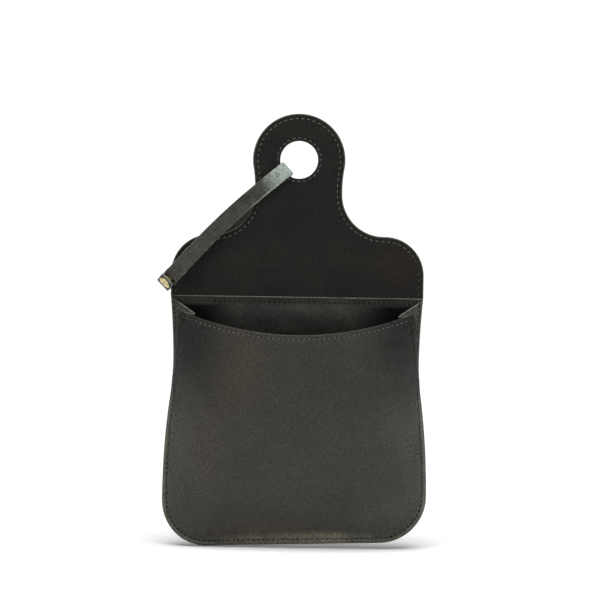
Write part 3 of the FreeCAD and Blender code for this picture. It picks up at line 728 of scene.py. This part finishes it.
def skinRelief(across, down):
    # fine relief along the skin's normal: pressed stitch rows, a crease inside each side edge,
    # a few soft buckles and a slack belly
    length = skinLength(across)
    mouthGap, seamGap = down * length, (1 - down) * length
    rear = skinRear(across, down)
    x, z = rear[..., 0], rear[..., 2]
    sideGap = np.where(z > sideEndZ - 12, sideReach(x, z), wellInside)
    press = groove(mouthGap, rowIn["mouth"], 0.55, 0.2)
    press = press + groove(seamReach(across, down), rowIn["seam"], 0.6, 0.28)
    crease = groove(sideGap, front["creaseIn"], 0.55, 0.75) * (1 - soften(foldZ - z, 42, 62))
    inner = soften(mouthGap, 4, 20) * soften(seamGap, 5, 26)
    slack = 0.9 * rumple(x, z, 46, 1.7) + 0.4 * rumple(x, z, 19, 6.6)
    buckle = 0.5 * rumple(x + 0.6 * z, (z - 0.5 * x) * 0.35, 12, 3.3) * soften(np.abs(x), 34, 66)
    return inner * (slack + buckle) - press - crease * soften(mouthGap, 0, 2.5)


edgeSteps = np.array([0, 0.03, 0.1, 0.22, 0.5, 0.9, 1.5, 2.0, 2.4, 2.7, 3.0, 3.4, 4.0, 4.8, 5.8, 7.0])


def stepsAlong(length, count, steps=edgeSteps):
    # shares along a run: close steps near both ends and even ones between
    ends = steps / length
    return np.r_[ends[:-1], np.linspace(ends[-1], 1 - ends[-1], count), 1 - ends[:-1][::-1]]


def frontPaintedShade(points):
    # painted shade: darker towards the front's top corners and its upper middle, and along the crease
    # inside each side edge
    x, z = points[:, 0], points[:, 2]
    corners = 0.85 * soften(np.abs(x), 26, 62) * soften(z, -8, 48)
    corners = corners + 0.2 * np.exp(-(x / 42) ** 2) * soften(z, -60, -10)
    crease = groove(sideReach(x, z), front["creaseIn"], 0.8, 1.0) * soften(z, foldZ - 62, foldZ - 48)
    return np.maximum(corners, crease)


def frontTanAndHighlight(points):
    # a brown tone in a leaning patch, and painted highlight in brown lower left and along the foot
    patch = spot(points, -36, 32, 19, 30) + 0.6 * spot(points, -54, -18, 11, 24)
    return patch + spot(points, -16, -66, 28, 8)


def frontPanel():
    shares = stepsAlong(front["width"], 150)
    length = skinLength(shares)[:, None]
    down = np.stack([stepsAlong(each, 92) for each in length[:, 0]])
    across = np.repeat(shares[:, None], down.shape[1], axis=1)
    sideGap = np.minimum(shares, 1 - shares)[:, None] * front["width"]
    gap = np.minimum(np.minimum(down, 1 - down) * length, sideGap)
    normal = skinNormal(across, down)
    offset = front["thickness"] / 2 + skinRelief(across, down)
    middle = skinRear(across, down) + normal * offset[..., None]
    x, z = middle[..., 0], middle[..., 2]
    # rubbed along the free sides, lighter in a band outside the seam's row, and a painted highlight at
    # the foot, where it faces the pale floor
    strip = (1 - soften(sideReach(x, z), 1.8, 2.6)) * soften(z, foldZ - 62, foldZ - 40)
    # painted highlight: the foot made lighter with the wear colour
    foot = np.exp(-((x - 2) / 52) ** 2) * np.exp(-(((1 - down) * length - 3) / 5) ** 2)
    band = 1 - soften(seamReach(across, down), 1.7, 2.5)
    look = dict(front, extraWearAndHighlight=np.max([strip * 0.4, foot * 0.95, band * 0.5], axis=0),
                rimShare=0.4 + 0.6 * soften(down * length, 1, 4), soil=frontPaintedShade, tan=frontTanAndHighlight)
    piece = sheetPiece("frontLeather", middle, normal, gap, look)
    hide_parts("front_panel")
    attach(piece, "pouch")


frontPanel()

# Facing behind the mouth's edge
facing = {"thickness": 0.8, "share": 0.11, "end": 0.02, "gap": 0.075, "edge": 0.3, "wearWidth": 0.5,
          "width": 150, "depth": 12, "length": 110, "dress": (liningLeatherLit, "leather_lining")}


def mouthFacing():
    shares = facing["end"] + (1 - 2 * facing["end"]) * stepsAlong(facing["width"], 90, edgeSteps[:7])
    downs = facing["share"] * stepsAlong(facing["depth"], 8, edgeSteps[:6])
    across, down = np.meshgrid(shares, downs, indexing="ij")
    normal = skinNormal(across, down)
    offset = skinRelief(across, down) * 0.6 - facing["gap"] - facing["thickness"] / 2
    middle = skinRear(across, down) + normal * offset[..., None]
    sideGap = np.minimum(shares - shares[0], shares[-1] - shares)[:, None] * facing["width"]
    gap = np.minimum(np.minimum(down, facing["share"] - down) * facing["length"], sideGap)
    piece = sheetPiece("mouthFacing", middle, normal, gap, facing)
    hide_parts("mouth_facing")
    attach(piece, "pouch")


mouthFacing()

# Gussets: each a sheet folded into the mouth, gathered at its low end
gusset = {
    "thickness": 1.0, "edge": 0.35, "wearWidth": 0.7, "foldIn": 17.8, "foldDrop": 11.8, "topDrop": 1.6,
    "edgeIn": 1.6, "bite": 0.35, "foreIn": 0.9, "foreBite": 0.7, "footBite": 0.1, "footSpread": 1.3,
    "stiff": 5.0, "ripple": 0.8, "rowIn": 1.5, "dress": (leatherOuter, "leather_black"),
}


def gussetPiece(side, name, node):
    # the piece, and the points and normals of its row of stitches
    cornerY = liningY - front["seamGap"] - front["cornerDepth"]
    rear = [topHalf - gusset["edgeIn"], liningY + gusset["bite"], foldZ - gusset["topDrop"]]
    inner = [topHalf - gusset["foldIn"], (liningY + cornerY) / 2, foldZ - gusset["foldDrop"]]
    fore = [cornerX - gusset["foreIn"], cornerY - gusset["foreBite"], cornerZ - gusset["foreIn"]]
    foot = [waistX - 2 * gusset["edgeIn"], liningY + gusset["footBite"], sideEndZ + gusset["edgeIn"]]
    steps = np.r_[0, 0.004, 0.012, 0.03, np.linspace(0.06, 0.94, 45), 0.97, 0.988, 0.996, 1]
    falls = np.r_[0, 0.001, 0.003, 0.007, 0.014, 0.03, np.linspace(0.05, 0.97, 44)]
    u, v = np.meshgrid(steps, falls, indexing="ij")
    weights = np.stack([(1 - u) ** 2, 2 * gusset["stiff"] * u * (1 - u), u ** 2], axis=-1)
    weights /= weights.sum(axis=-1, keepdims=True)
    top = weights @ np.array([rear, inner, fore])
    middle = top + (foot - top) * v[..., None]
    middle[..., 1] -= gusset["footSpread"] * v * u
    swing = np.sin(math.pi * u) * np.sin(math.pi * np.clip(v * 1.15, 0, 1))
    middle[..., 0] += gusset["ripple"] * swing * rumple(u * 30, v * 40, 9, 4.0 + side)
    middle = middle * [side, 1, 1]
    normal = unit(np.cross(*np.gradient(middle, axis=(0, 1))))
    if normal[20, 20][0] * side < 0:
        normal = -normal
    middle = middle + normal * gusset["thickness"] / 2
    rise = np.linalg.norm(middle[:, -1:] - middle, axis=2)
    widths = np.linalg.norm(np.diff(middle, axis=0), axis=2)
    along = np.concatenate([np.zeros((1, len(falls))), np.cumsum(widths, axis=0)])
    gap = np.minimum(np.minimum(along, along[-1:] - along), v * rise[:, :1])
    piece = sheetPiece(name, middle, normal, gap, gusset)
    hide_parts(node)
    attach(piece, "pouch")
    face = middle + normal * (gusset["thickness"] / 2 + rowIn["stand"])
    shown = np.flatnonzero((falls > 0.012) & (falls < 0.9))
    return [np.array([[np.interp(gusset["rowIn"], along[:, k], grid[:, k, axis]) for axis in range(3)]
                      for k in shown]) for grid in (face, normal)]


gussetRows = [gussetPiece(-1, "gussetLeft", "gusset_left"), gussetPiece(1, "gussetRight", "gusset_right")]
print("stage: front, facing and gussets made")

# Loop strap, in its own frame: first coordinate along the strap from the hole's centre,
# second the part's Y, third across the strap
tabJoint = next(joint for joint in frame["joints"] if joint["name"] == "snap_tab")
strap = {
    "width": 9.5, "thickness": 1.5, "edge": 0.55, "wearWidth": 0.75, "rimGap": 0.4, "bow": 1.9,
    "bowAt": 60, "rise": 10.2, "bowRadius": 60, "bendRadius": 1.5, "rimBend": 1.2, "backGap": 0.5,
    "tabGap": 1.8, "tabTilt": 68, "cut": 5.5, "shift": 1, "rowIn": 2.7,
    "rowLift": 0.72, "rowSpans": ((14, 92), (108, 192)), "swayFrom": 9, "swayOver": 92,
    "swayFront": -2.35, "swayRear": 2.6, "dress": (leatherStrap, "strap_leather"),
}
strapAcross = np.array(tabJoint["axis"], float)
strapOrigin = np.array([0, 0, ringZ]) - strap["shift"] * strapAcross
strapAxes = np.stack([np.cross([0, 1, 0], strapAcross), [0, 1, 0], strapAcross])
tabPivot = (strapAxes @ (np.array(tabJoint["pos_m"]) / mm - strapOrigin))[:2]
tilt = math.radians(strap["tabTilt"])
tabNormal = np.array([math.sin(tilt), -math.cos(tilt)])
tabAlong = np.array([-math.cos(tilt), -math.sin(tilt)])


def fromStrap(points):
    return strapOrigin + np.asarray(points) @ strapAxes


def bentPath(spots, radii, step=1.6):
    # straight runs joined by tangent arcs, as points close enough to bend smoothly
    spots = [np.array(corner, float) for corner in spots]
    run = spots[:1]
    for before, corner, after, radius in zip(spots, spots[1:], spots[2:], radii):
        into, out = unit(corner - before), unit(after - corner)
        turn = math.acos(np.clip(into @ out, -1, 1))
        first = corner - into * radius * math.tan(turn / 2)
        side = np.array([-into[1], into[0]]) * math.copysign(1, into[0] * out[1] - into[1] * out[0])
        centre = first + side * radius
        count = max(2, int(np.linalg.norm(first - run[-1]) / step))
        run.extend(line(run[-1], first, count + 1)[1:])
        for part in np.linspace(0, turn, max(6, int(math.degrees(turn) / 7)))[1:]:
            run.append(centre - side * radius * math.cos(part) + into * radius * math.sin(part))
    count = max(2, int(np.linalg.norm(spots[-1] - run[-1]) / step))
    return np.array(run + list(line(run[-1], spots[-1], count + 1)[1:]))


def pathNormals(run):
    way = unit(np.gradient(run, axis=0))
    return np.stack([way[:, 1], -way[:, 0]], axis=1)


def onEnd(y):
    start = tabPivot - tabNormal * (strap["tabGap"] + strap["thickness"] / 2)
    return start + tabAlong * ((start[1] - y) / math.sin(tilt))


rimChord = math.sqrt(outline["holeRadius"] ** 2 - (strap["width"] / 2 + strap["shift"]) ** 2)
rimX = rimChord - strap["rimGap"] - strap["thickness"] / 2
rimY = flapY - strap["rimGap"] - strap["thickness"] / 2
rearY = strap["backGap"] + strap["thickness"] / 2
endLow = strap["rimGap"] - flapY + math.cos(tilt) * strap["thickness"] / 2
strapRun = bentPath([onEnd(-endLow), onEnd(-strap["rise"]), (strap["bowAt"], rimY - strap["bow"]),
                     (rimX, rimY), (rimX, rearY), (tabPivot[0] - strap["cut"], rearY)],
                    [strap["bendRadius"], strap["bowRadius"], strap["rimBend"], strap["rimBend"]])
bandSteps = np.array([0, 0.03, 0.1, 0.22, 0.45, 0.8, 1.3])


def strapSway(run):
    # a slack loop's front run swings to the upper left and its rear run to the lower right
    share = np.clip((run[:, 0] - strap["swayFrom"]) / strap["swayOver"], 0, 1)
    return np.sin(math.pi * share) * np.where(run[:, 1] < 0, strap["swayFront"], strap["swayRear"])


def withRimSteps(run):
    # extra points close to a run's free first end, so that its rim is round
    steps = bandSteps[1:6, None] * unit(run[1] - run[0])
    return np.concatenate([run[:1], run[0] + steps, run[1:]])


def bandPiece(name, run, halves, isTab):
    # a strap along a run in the strap's frame, half as wide as given, with rounded worn edges
    half = strap["width"] / 2
    share = (halves / half)[:, None]
    across = np.r_[bandSteps - half, np.linspace(1.9 - half, half - 1.9, 9), (half - bandSteps)[::-1]]
    length = pathLength(run)
    grid = np.zeros((len(run), len(across), 3))
    flat = np.zeros_like(grid)
    grid[..., :2] = run[:, None]
    flat[..., :2] = pathNormals(run)[:, None]
    grid[..., 2] = across * share
    endGap = length[-1] - length if isTab else length
    gap = np.minimum(half * share - np.abs(grid[..., 2]), endGap[:, None])
    grid[..., 2] += strapSway(run)[:, None]
    worn = 0.1 * rumple(length[:, None], across[None] * 1.5, 5, 2.0)
    if not isTab:
        worn = worn - groove(across, half - strap["rowIn"], 0.4, 0.12)
    middle = grid + flat * worn[..., None] * soften(gap, 0, 0.8)[..., None]
    inFront = run[:, 1:] < rearY - 0.1
    # rubbed and painted highlight: the strap made lighter where it bends over the rim, its edges rubbed
    # further along
    rubbedAndHighlight, near = (np.exp(-((run[:, :1] - rimX) / wide) ** 2) * inFront for wide in (17, 40))
    edgeWear = 0.75 * near * (1 - soften(half - across, 0.5, 2.0))
    look = dict(strap, extraWearAndHighlight=np.maximum(0.95 * rubbedAndHighlight, edgeWear), rimShare=0.5)
    return sheetPiece(name, fromStrap(middle), flat @ strapAxes, gap, look)


bandRun = withRimSteps(strapRun)
strapBand = bandPiece("strapBand", bandRun, np.full(len(bandRun), strap["width"] / 2), False)
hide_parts("strap")
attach(strapBand, "strap")

# Snap tab: the strap's end, bent over the loop's front end
tab = {"length": 12.6, "corner": 2.4, "snapAt": 8}


def tabPiece():
    radius, corner = strap["thickness"] / 2, tab["corner"]
    parts = np.linspace(0, math.pi - tilt, 20)
    bend = tabPivot + radius * np.stack([np.sin(parts), np.cos(parts)], axis=1)
    start = line((tabPivot[0] - strap["cut"], rearY), bend[0], 8)
    straight = bend[-1] + tabAlong * spread(0.6, tab["length"], 0.55)[:, None]
    run = withRimSteps(np.concatenate([start[:-1], bend, straight])[::-1])[::-1]
    left = pathLength(run)[-1] - pathLength(run)
    rounded = np.sqrt(np.clip(corner ** 2 - (corner - left) ** 2, 0, None))
    tuck = np.where(left < corner, corner - rounded, 0)
    piece = bandPiece("strapTab", run, strap["width"] / 2 - tuck, True)
    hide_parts("strap_tab")
    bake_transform(piece)


tabPiece()

# Snap: cap and socket on the tab, stud and post on the strap's end beneath it
snap = {
    "capRadius": 4.2, "capHeight": 1.2, "shank": 1.2, "shankEnd": 0.15, "socketRadius": 3.6, "bore": 2.1,
    "socketHeight": 1.2, "studRadius": 3.0, "flange": 0.4, "ball": 1.5, "ballTop": 0.5, "post": 1.0,
    "head": 0.6, "sides": 72, "sharp": 38, "dress": (brass, "snap_brass"),
}
capBase = strap["thickness"]
capTop = capBase + snap["capHeight"]
socketEnd = -snap["socketHeight"]
studBase = -strap["tabGap"]
studTop = studBase + snap["flange"]
ballTop = -snap["ballTop"]
postBase = studBase - strap["thickness"]
headEnd = postBase - snap["head"]


def turnedPiece(name, node, body, profile):
    # a part turned on the snap's axis, from (radius, height) pairs along the tab's normal
    count = snap["sides"]
    turns = np.linspace(0, 2 * math.pi, count, endpoint=False)[:, None]
    centre = tabPivot + tabAlong * tab["snapAt"]
    points, faces = [], []
    for radius, height in profile:
        flat = centre + tabNormal * height + radius * np.cos(turns) * tabAlong
        points.extend(np.hstack([flat, radius * np.sin(turns)]))
    for first in range(0, len(points) - count, count):
        for i in range(count):
            j = (i + 1) % count
            faces.append((first + i, first + j, first + count + j, first + count + i))
    piece = addPiece(name, fromStrap(points), faces, np.zeros(len(points)), snap)
    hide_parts(node)
    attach(piece, body)


cap, shank, shankEnd = snap["capRadius"], snap["shank"], snap["shankEnd"]
turnedPiece("snapCap", "snap_cap", "snap_tab", [
    (0, capTop), (1.0, capTop - 0.01), (2.0, capTop - 0.05), (2.9, capTop - 0.12), (3.3, capTop - 0.2),
    (3.42, capTop - 0.27), (3.6, capTop - 0.25), (3.85, capTop - 0.33), (4.05, capTop - 0.5),
    (cap, capTop - 0.78), (cap - 0.03, capTop - 1.0), (cap - 0.2, capBase), (shank, capBase),
    (shank, shankEnd), (0, shankEnd)])
bore, socket = snap["bore"], snap["socketRadius"]
turnedPiece("snapSocket", "snap_socket", "snap_tab", [
    (bore, 0), (socket - 0.1, 0), (socket, -0.15), (socket, -0.45), (socket - 0.3, -0.7),
    (socket - 0.7, -0.8), (socket - 0.9, socketEnd * 0.85), (bore + 0.45, socketEnd),
    (bore + 0.1, socketEnd), (bore, socketEnd + 0.15), (bore, 0)])
ball, stud = snap["ball"], snap["studRadius"]
turnedPiece("snapStud", "snap_stud", "strap", [
    (0, studBase), (stud - 0.1, studBase), (stud, studBase + 0.12), (stud - 0.15, studTop - 0.05),
    (ball + 0.4, studTop), (ball - 0.15, studTop + 0.08), (ball - 0.2, studTop + 0.25),
    (ball, studTop + 0.5), (ball - 0.05, ballTop - 0.22), (ball - 0.35, ballTop - 0.04),
    (ball - 0.7, ballTop), (0, ballTop)])
post = snap["post"]
turnedPiece("snapPost", "snap_post", "strap", [
    (0, headEnd), (stud - 1.0, headEnd), (stud - 0.3, postBase - 0.5), (stud, postBase - 0.25),
    (stud - 0.05, postBase), (post, postBase), (post, studBase), (0, studBase)])
print("stage: strap, tab and snap made")


# Stitches: one node tree sets a bent thread and a needle pit, a near-black dent of painted shade, at even
# steps along a path
def stitchTree():
    tree = bpy.data.node_groups.new("stitchRow", "GeometryNodeTree")
    sockets = {}
    for name, kind, way in (
            ("Path", "Geometry", "INPUT"), ("Pitch", "Float", "INPUT"), ("Length", "Float", "INPUT"),
            ("Width", "Float", "INPUT"), ("Rise", "Float", "INPUT"), ("Hole", "Float", "INPUT"),
            ("Jitter", "Float", "INPUT"), ("Thread", "Material", "INPUT"), ("PitShade", "Material", "INPUT"),
            ("Stitches", "Geometry", "OUTPUT")):
        made = tree.interface.new_socket(name, in_out=way, socket_type="NodeSocket" + kind)
        sockets[name] = made.identifier

    def add(kind, values=None, **facts):
        return addNode(tree, kind, values, **facts)[0]

    def times(one, two):
        return timesNode(tree, one, two)

    def vector(x=0.0, y=0.0, z=0.0):
        return add("ShaderNodeCombineXYZ", {"X": x, "Y": y, "Z": z})

    given = addNode(tree, "NodeGroupInput")
    half = times(given["Length"], 0.5)
    # the thread, its ends bent down and drawn in
    ends = {"Start": vector(times(half, -1.0)), "End": vector(half)}
    thread = add("GeometryNodeCurvePrimitiveLine", ends)
    thread = add("GeometryNodeResampleCurve", {"Curve": thread, "Count": 9})
    x = add("ShaderNodeSeparateXYZ", {0: add("GeometryNodeInputPosition")})
    share = mathNode(tree, "DIVIDE", x, half)
    square = times(share, share)
    drop = vector(z=times(times(square, given["Rise"]), -1.0))
    thread = add("GeometryNodeSetPosition", {"Geometry": thread, "Offset": drop})
    taper = mathNode(tree, "SUBTRACT", 1.0, times(times(square, square), 0.55))
    thread = add("GeometryNodeSetCurveRadius", {"Curve": thread, "Radius": taper})
    radius = times(given["Width"], 0.5)
    ring = add("GeometryNodeCurvePrimitiveCircle", {"Resolution": 8, "Radius": radius})
    tube = add("GeometryNodeCurveToMesh", {
        "Curve": thread, "Profile Curve": ring, "Scale": taper, "Fill Caps": True})
    # the pit its needle left, half a pitch along: a flat near-black dent, painted shade for the hole
    pitShade = add("GeometryNodeMeshUVSphere", {"Segments": 10, "Rings": 5, "Radius": given["Hole"]})
    away = vector(times(given["Pitch"], 0.5), 0.0, times(given["Width"], -0.1))
    pitShade = add("GeometryNodeTransform", {"Geometry": pitShade, "Translation": away, "Scale": (1.4, 1.05, 0.3)})
    pitShade = add("GeometryNodeStoreNamedAttribute", {"Geometry": pitShade, "Name": "pitShade", "Value": True},
              data_type="BOOLEAN", domain="FACE")
    both = tree.nodes.new("GeometryNodeJoinGeometry")
    for part in (tube, pitShade):
        tree.links.new(part, both.inputs[0])
    stitch = add("GeometryNodeSetShadeSmooth", {0: both.outputs[0]})
    # a stitch at every step, square to its face and a little askew
    curve = add("GeometryNodeMeshToCurve", {0: given["Path"]})
    spots = addNode(tree, "GeometryNodeCurveToPoints", {"Curve": curve, "Length": given["Pitch"]},
                    mode="LENGTH")
    up = add("GeometryNodeInputNamedAttribute", {"Name": "up"}, data_type="FLOAT_VECTOR")
    turn = add("FunctionNodeAlignRotationToVector", {"Vector": spots["Tangent"]}, axis="X")
    turn = add("FunctionNodeAlignRotationToVector", {"Rotation": turn, "Vector": up},
               axis="Z", pivot_axis="X")
    reach = vector(given["Jitter"], given["Jitter"], times(given["Jitter"], 2.0))
    back = add("ShaderNodeVectorMath", {0: reach, 1: (-1, -1, -1)}, operation="MULTIPLY")
    askew = add("FunctionNodeRandomValue", {0: back, 1: reach, "Seed": 7}, data_type="FLOAT_VECTOR")
    turn = add("FunctionNodeRotateRotation", {"Rotation": turn, "Rotate By": askew},
               rotation_space="LOCAL")
    placed = add("GeometryNodeInstanceOnPoints", {
        "Points": spots["Points"], "Instance": stitch, "Rotation": turn})
    real = add("GeometryNodeRealizeInstances", {0: placed})
    real = add("GeometryNodeSetMaterial", {"Geometry": real, "Material": given["Thread"]})
    pitShadeFaces = add("GeometryNodeInputNamedAttribute", {"Name": "pitShade"}, data_type="BOOLEAN")
    real = add("GeometryNodeSetMaterial", {"Geometry": real, "Selection": pitShadeFaces, "Material": given["PitShade"]})
    addNode(tree, "NodeGroupOutput", {0: real})
    return tree, sockets


stitchNodes, stitchSockets = stitchTree()


def stitchPiece(name, runs, look):
    # a mesh of stitches along runs of (points, normals, grime, closed) in the part's frame
    points, ups, grimes, edges = [], [], [], []
    for run, normals, dark, closed in runs:
        first, count = len(points), len(run)
        points.extend(settled(run) * mm)
        ups.extend(np.broadcast_to(normals, (count, 3)))
        grimes.extend(np.broadcast_to(dark, count))
        edges.extend((first + i, first + (i + 1) % count) for i in range(count if closed else count - 1))
    path = bpy.data.meshes.new(name + "Path")
    path.from_pydata([tuple(p) for p in points], edges, [])
    upward = path.attributes.new("up", "FLOAT_VECTOR", "POINT")
    upward.data.foreach_set("vector", np.ravel(ups).astype(np.float32))
    dirt = path.attributes.new("grime", "FLOAT", "POINT")
    dirt.data.foreach_set("value", np.array(grimes, np.float32))
    carrier = place(name + "Path", path)
    modifier = carrier.modifiers.new("stitches", "NODES")
    modifier.node_group = stitchNodes
    for key in ("Pitch", "Length", "Width", "Rise", "Hole"):
        modifier[stitchSockets[key]] = look[key.lower()] * mm
    modifier[stitchSockets["Jitter"]] = look["jitter"]
    modifier[stitchSockets["Thread"]] = threadPale
    modifier[stitchSockets["PitShade"]] = pitShadeMaterial
    bpy.context.view_layer.update()
    mesh = bpy.data.meshes.new_from_object(carrier.evaluated_get(bpy.context.evaluated_depsgraph_get()))
    bpy.data.objects.remove(carrier)
    mesh.name = name
    piece = place(name, mesh)
    print("piece:", name, len(mesh.polygons), "faces")
    return piece


paleRow = {"pitch": 3.5, "length": 2.5, "width": 0.5, "rise": 0.2, "hole": 0.42, "jitter": 0.07}
seamRow = dict(paleRow, pitch=2.95, length=2.0, width=0.46, hole=0.5)
mouthRow = dict(seamRow, width=0.42, hole=0.33)
strapRow = dict(mouthRow, hole=0.32)
# how dark each row has become, from clean at 0 to black at 1
grime = {"top": 1.0, "side": 0.8, "seam": 0.66, "mouth": 0.38, "rear": 0.6, "bridge": 0.75, "flap": 0.3,
         "hole": 0.4, "strap": 0.45}


def flatRow(chain, faceY, relief, inset, side, dark, closed=False):
    # a row on a flat panel's front (side -1) or rear (side 1), at its groove
    y = faceY + relief(chain[:, 0], chain[:, 1], inset, side) + side * rowIn["stand"]
    return np.column_stack([chain[:, 0], y, chain[:, 1]]), (0, side, 0), dark, closed


def skinRow(across, down, dark):
    # a row on the front panel's face
    normal = skinNormal(across, down)
    offset = front["thickness"] + skinRelief(across, down) + rowIn["stand"]
    return skinRear(across, down) + normal * offset[:, None], normal, dark, False


mouthSpots = np.linspace(0.02, 0.98, 400)
seamSpots = np.linspace(0.012, 0.988, 420)
topHeight = foldZ - rowIn["top"]
topRow = line((-rowIn["topHalf"], topHeight), (rowIn["topHalf"], topHeight), 140)
backChain = pouchChain(rowIn["back"])
around = backChain[backChain[:, 1] < foldZ - 4]
pouchStitches = stitchPiece("pouchStitches", [
    flatRow(topRow, liningY, liningRelief, wellInside, -1, grime["top"]),
    *[(points, normals, grime["side"], False) for points, normals in gussetRows],
    skinRow(seamSpots, seamLine(seamSpots, rowIn["seam"]), grime["seam"]),
    flatRow(topRow, 0, backRelief, wellInside, 1, grime["rear"]),
    flatRow(around, 0, backRelief, rowIn["back"], 1, grime["rear"]),
], seamRow)
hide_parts("top_thread", "side_thread", "seam_thread")
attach(pouchStitches, "pouch")
mouthDown = rowIn["mouth"] / skinLength(mouthSpots)
mouthRuns = [skinRow(mouthSpots, mouthDown, grime["mouth"])]
mouthStitches = stitchPiece("mouthStitches", mouthRuns, mouthRow)
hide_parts("mouth_thread")
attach(mouthStitches, "pouch")

flapIn, holeIn, halfPitch = rowIn["flap"], rowIn["hole"], paleRow["pitch"] / 2
flapEdge, bridgeEdge = flapChain(flapIn), bridgeSide(flapIn)
flapEdge = flapEdge[flapEdge[:, 1] > splitZ + halfPitch]
bridgeEdge = bridgeEdge[(bridgeEdge[:, 1] >= foldZ + 1.5) & (bridgeEdge[:, 1] <= splitZ - halfPitch)]
flapGrime = grime["flap"] + 0.45 * (1 - soften(flapEdge[:, 1], splitZ, splitZ + 16))
bridgeRuns, flapRuns = [], []
for side, faceY in ((-1, flapY), (1, 0)):
    for edge in (bridgeEdge, bridgeEdge * [-1, 1]):
        bridgeRuns.append(flatRow(edge, faceY, flapRelief, flapIn, side, grime["bridge"]))
    flapRuns.append(flatRow(flapEdge, faceY, flapRelief, flapIn, side, flapGrime))
    flapRuns.append(flatRow(holeChain(holeIn), faceY, flapRelief, holeIn, side, grime["hole"], True))
bridgeStitches = stitchPiece("bridgeStitches", bridgeRuns, paleRow)
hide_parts("bridge_thread")
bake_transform(bridgeStitches)
flapStitches = stitchPiece("flapStitches", flapRuns, paleRow)
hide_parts("flap_thread", "ring_thread")
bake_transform(flapStitches)

strapSide = -pathNormals(strapRun)
lengthAlong = pathLength(strapRun)
strapRowAt = strap["width"] / 2 - strap["rowIn"] + strapSway(strapRun)
strapFace = fromStrap(np.column_stack([strapRun + strapSide * strap["rowLift"], strapRowAt]))
strapNormals = np.column_stack([strapSide, np.zeros(len(strapRun))]) @ strapAxes
strapRuns = []
for first, last in strap["rowSpans"]:
    keep = (lengthAlong > first) & (lengthAlong < last)
    strapRuns.append((strapFace[keep], strapNormals[keep], grime["strap"], False))
strapStitches = stitchPiece("strapStitches", strapRuns, strapRow)
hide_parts("strap_thread")
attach(strapStitches, "strap")
print("stage: stitches made")

# Plain stage: pale floor, soft light and a long lens square to the front
stage = {"span": 0.3636, "distance": 1.3, "height": 0.0732, "aside": 0.0018, "roll": 0.9, "glow": 0.04,
         "shown": 1.1, "overhead": 4.0, "softness": 50, "lean": 16, "floorHalf": 3.0, "floorGap": 0.0003}
areaLights = {  # place, target, width, height and power
    "frontLight": ((0, -1.3, 0.85), (0, 0, 0.06), 0.5, 0.25, 0.6),
    "footLight": ((0, -0.9, -0.05), (0, 0, -0.06), 0.6, 0.1, 0.65),
    "leftLight": ((-1.1, -0.5, 0.02), (0, 0, 0), 0.4, 0.4, 2.6),
    "rightLight": ((1.1, -0.5, 0.02), (0, 0, 0), 0.4, 0.4, 4.4),
}


def makeFloor():
    half, z = stage["floorHalf"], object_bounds()[0].z - stage["floorGap"]
    floor = bpy.data.meshes.new("floor")
    corners = [(-half, -half, z), (half, -half, z), (half, half, z), (-half, half, z)]
    floor.from_pydata(corners, [], [(0, 1, 2, 3)])
    pale, tree, shader = newMaterial("paleFloor")[:3]
    fill(tree, shader, {"Base Color": rgb(0.9, 0.9, 0.9), "Roughness": 0.9, "Specular IOR Level": 0.0})
    floor.materials.append(pale)
    plane = place("floor", floor)


def lightStage():
    world = bpy.data.worlds.new("paleWorld")
    world.use_nodes = True
    tree = world.node_tree
    seen = addNode(tree, "ShaderNodeLightPath")["Is Camera Ray"]
    fill(tree, tree.nodes["Background"], {
        "Strength": rangeNode(tree, seen, 0, 1, stage["glow"], stage["shown"]), "Color": rgb(1, 1, 1)})
    bpy.context.scene.world = world
    overhead = bpy.data.lights.new("overhead", "SUN")
    overhead.energy = stage["overhead"]
    overhead.angle = math.radians(stage["softness"])
    place("overhead", overhead).rotation_euler = (math.radians(stage["lean"]), 0, 0)
    for name, (source, target, width, height, power) in areaLights.items():
        light = bpy.data.lights.new(name, "AREA")
        light.shape = "RECTANGLE"
        light.size, light.size_y, light.energy = width, height, power
        lamp = place(name, light)
        lamp.location = source
        lamp.rotation_euler = (Vector(target) - Vector(source)).to_track_quat("-Z", "Y").to_euler()


makeFloor()
lightStage()
camera = bpy.data.cameras.new("camera")
camera.sensor_width = 36
camera.lens = camera.sensor_width * stage["distance"] / stage["span"]
viewer = place("camera", camera)
viewer.location = (stage["aside"], -stage["distance"], stage["height"])
turn = Matrix.Rotation(math.radians(90), 4, "X") @ Matrix.Rotation(math.radians(stage["roll"]), 4, "Z")
viewer.rotation_euler = turn.to_euler()
bpy.context.scene.camera = viewer
bpy.context.scene.view_settings.view_transform = "Standard"
print("stage: floor, light and camera set")
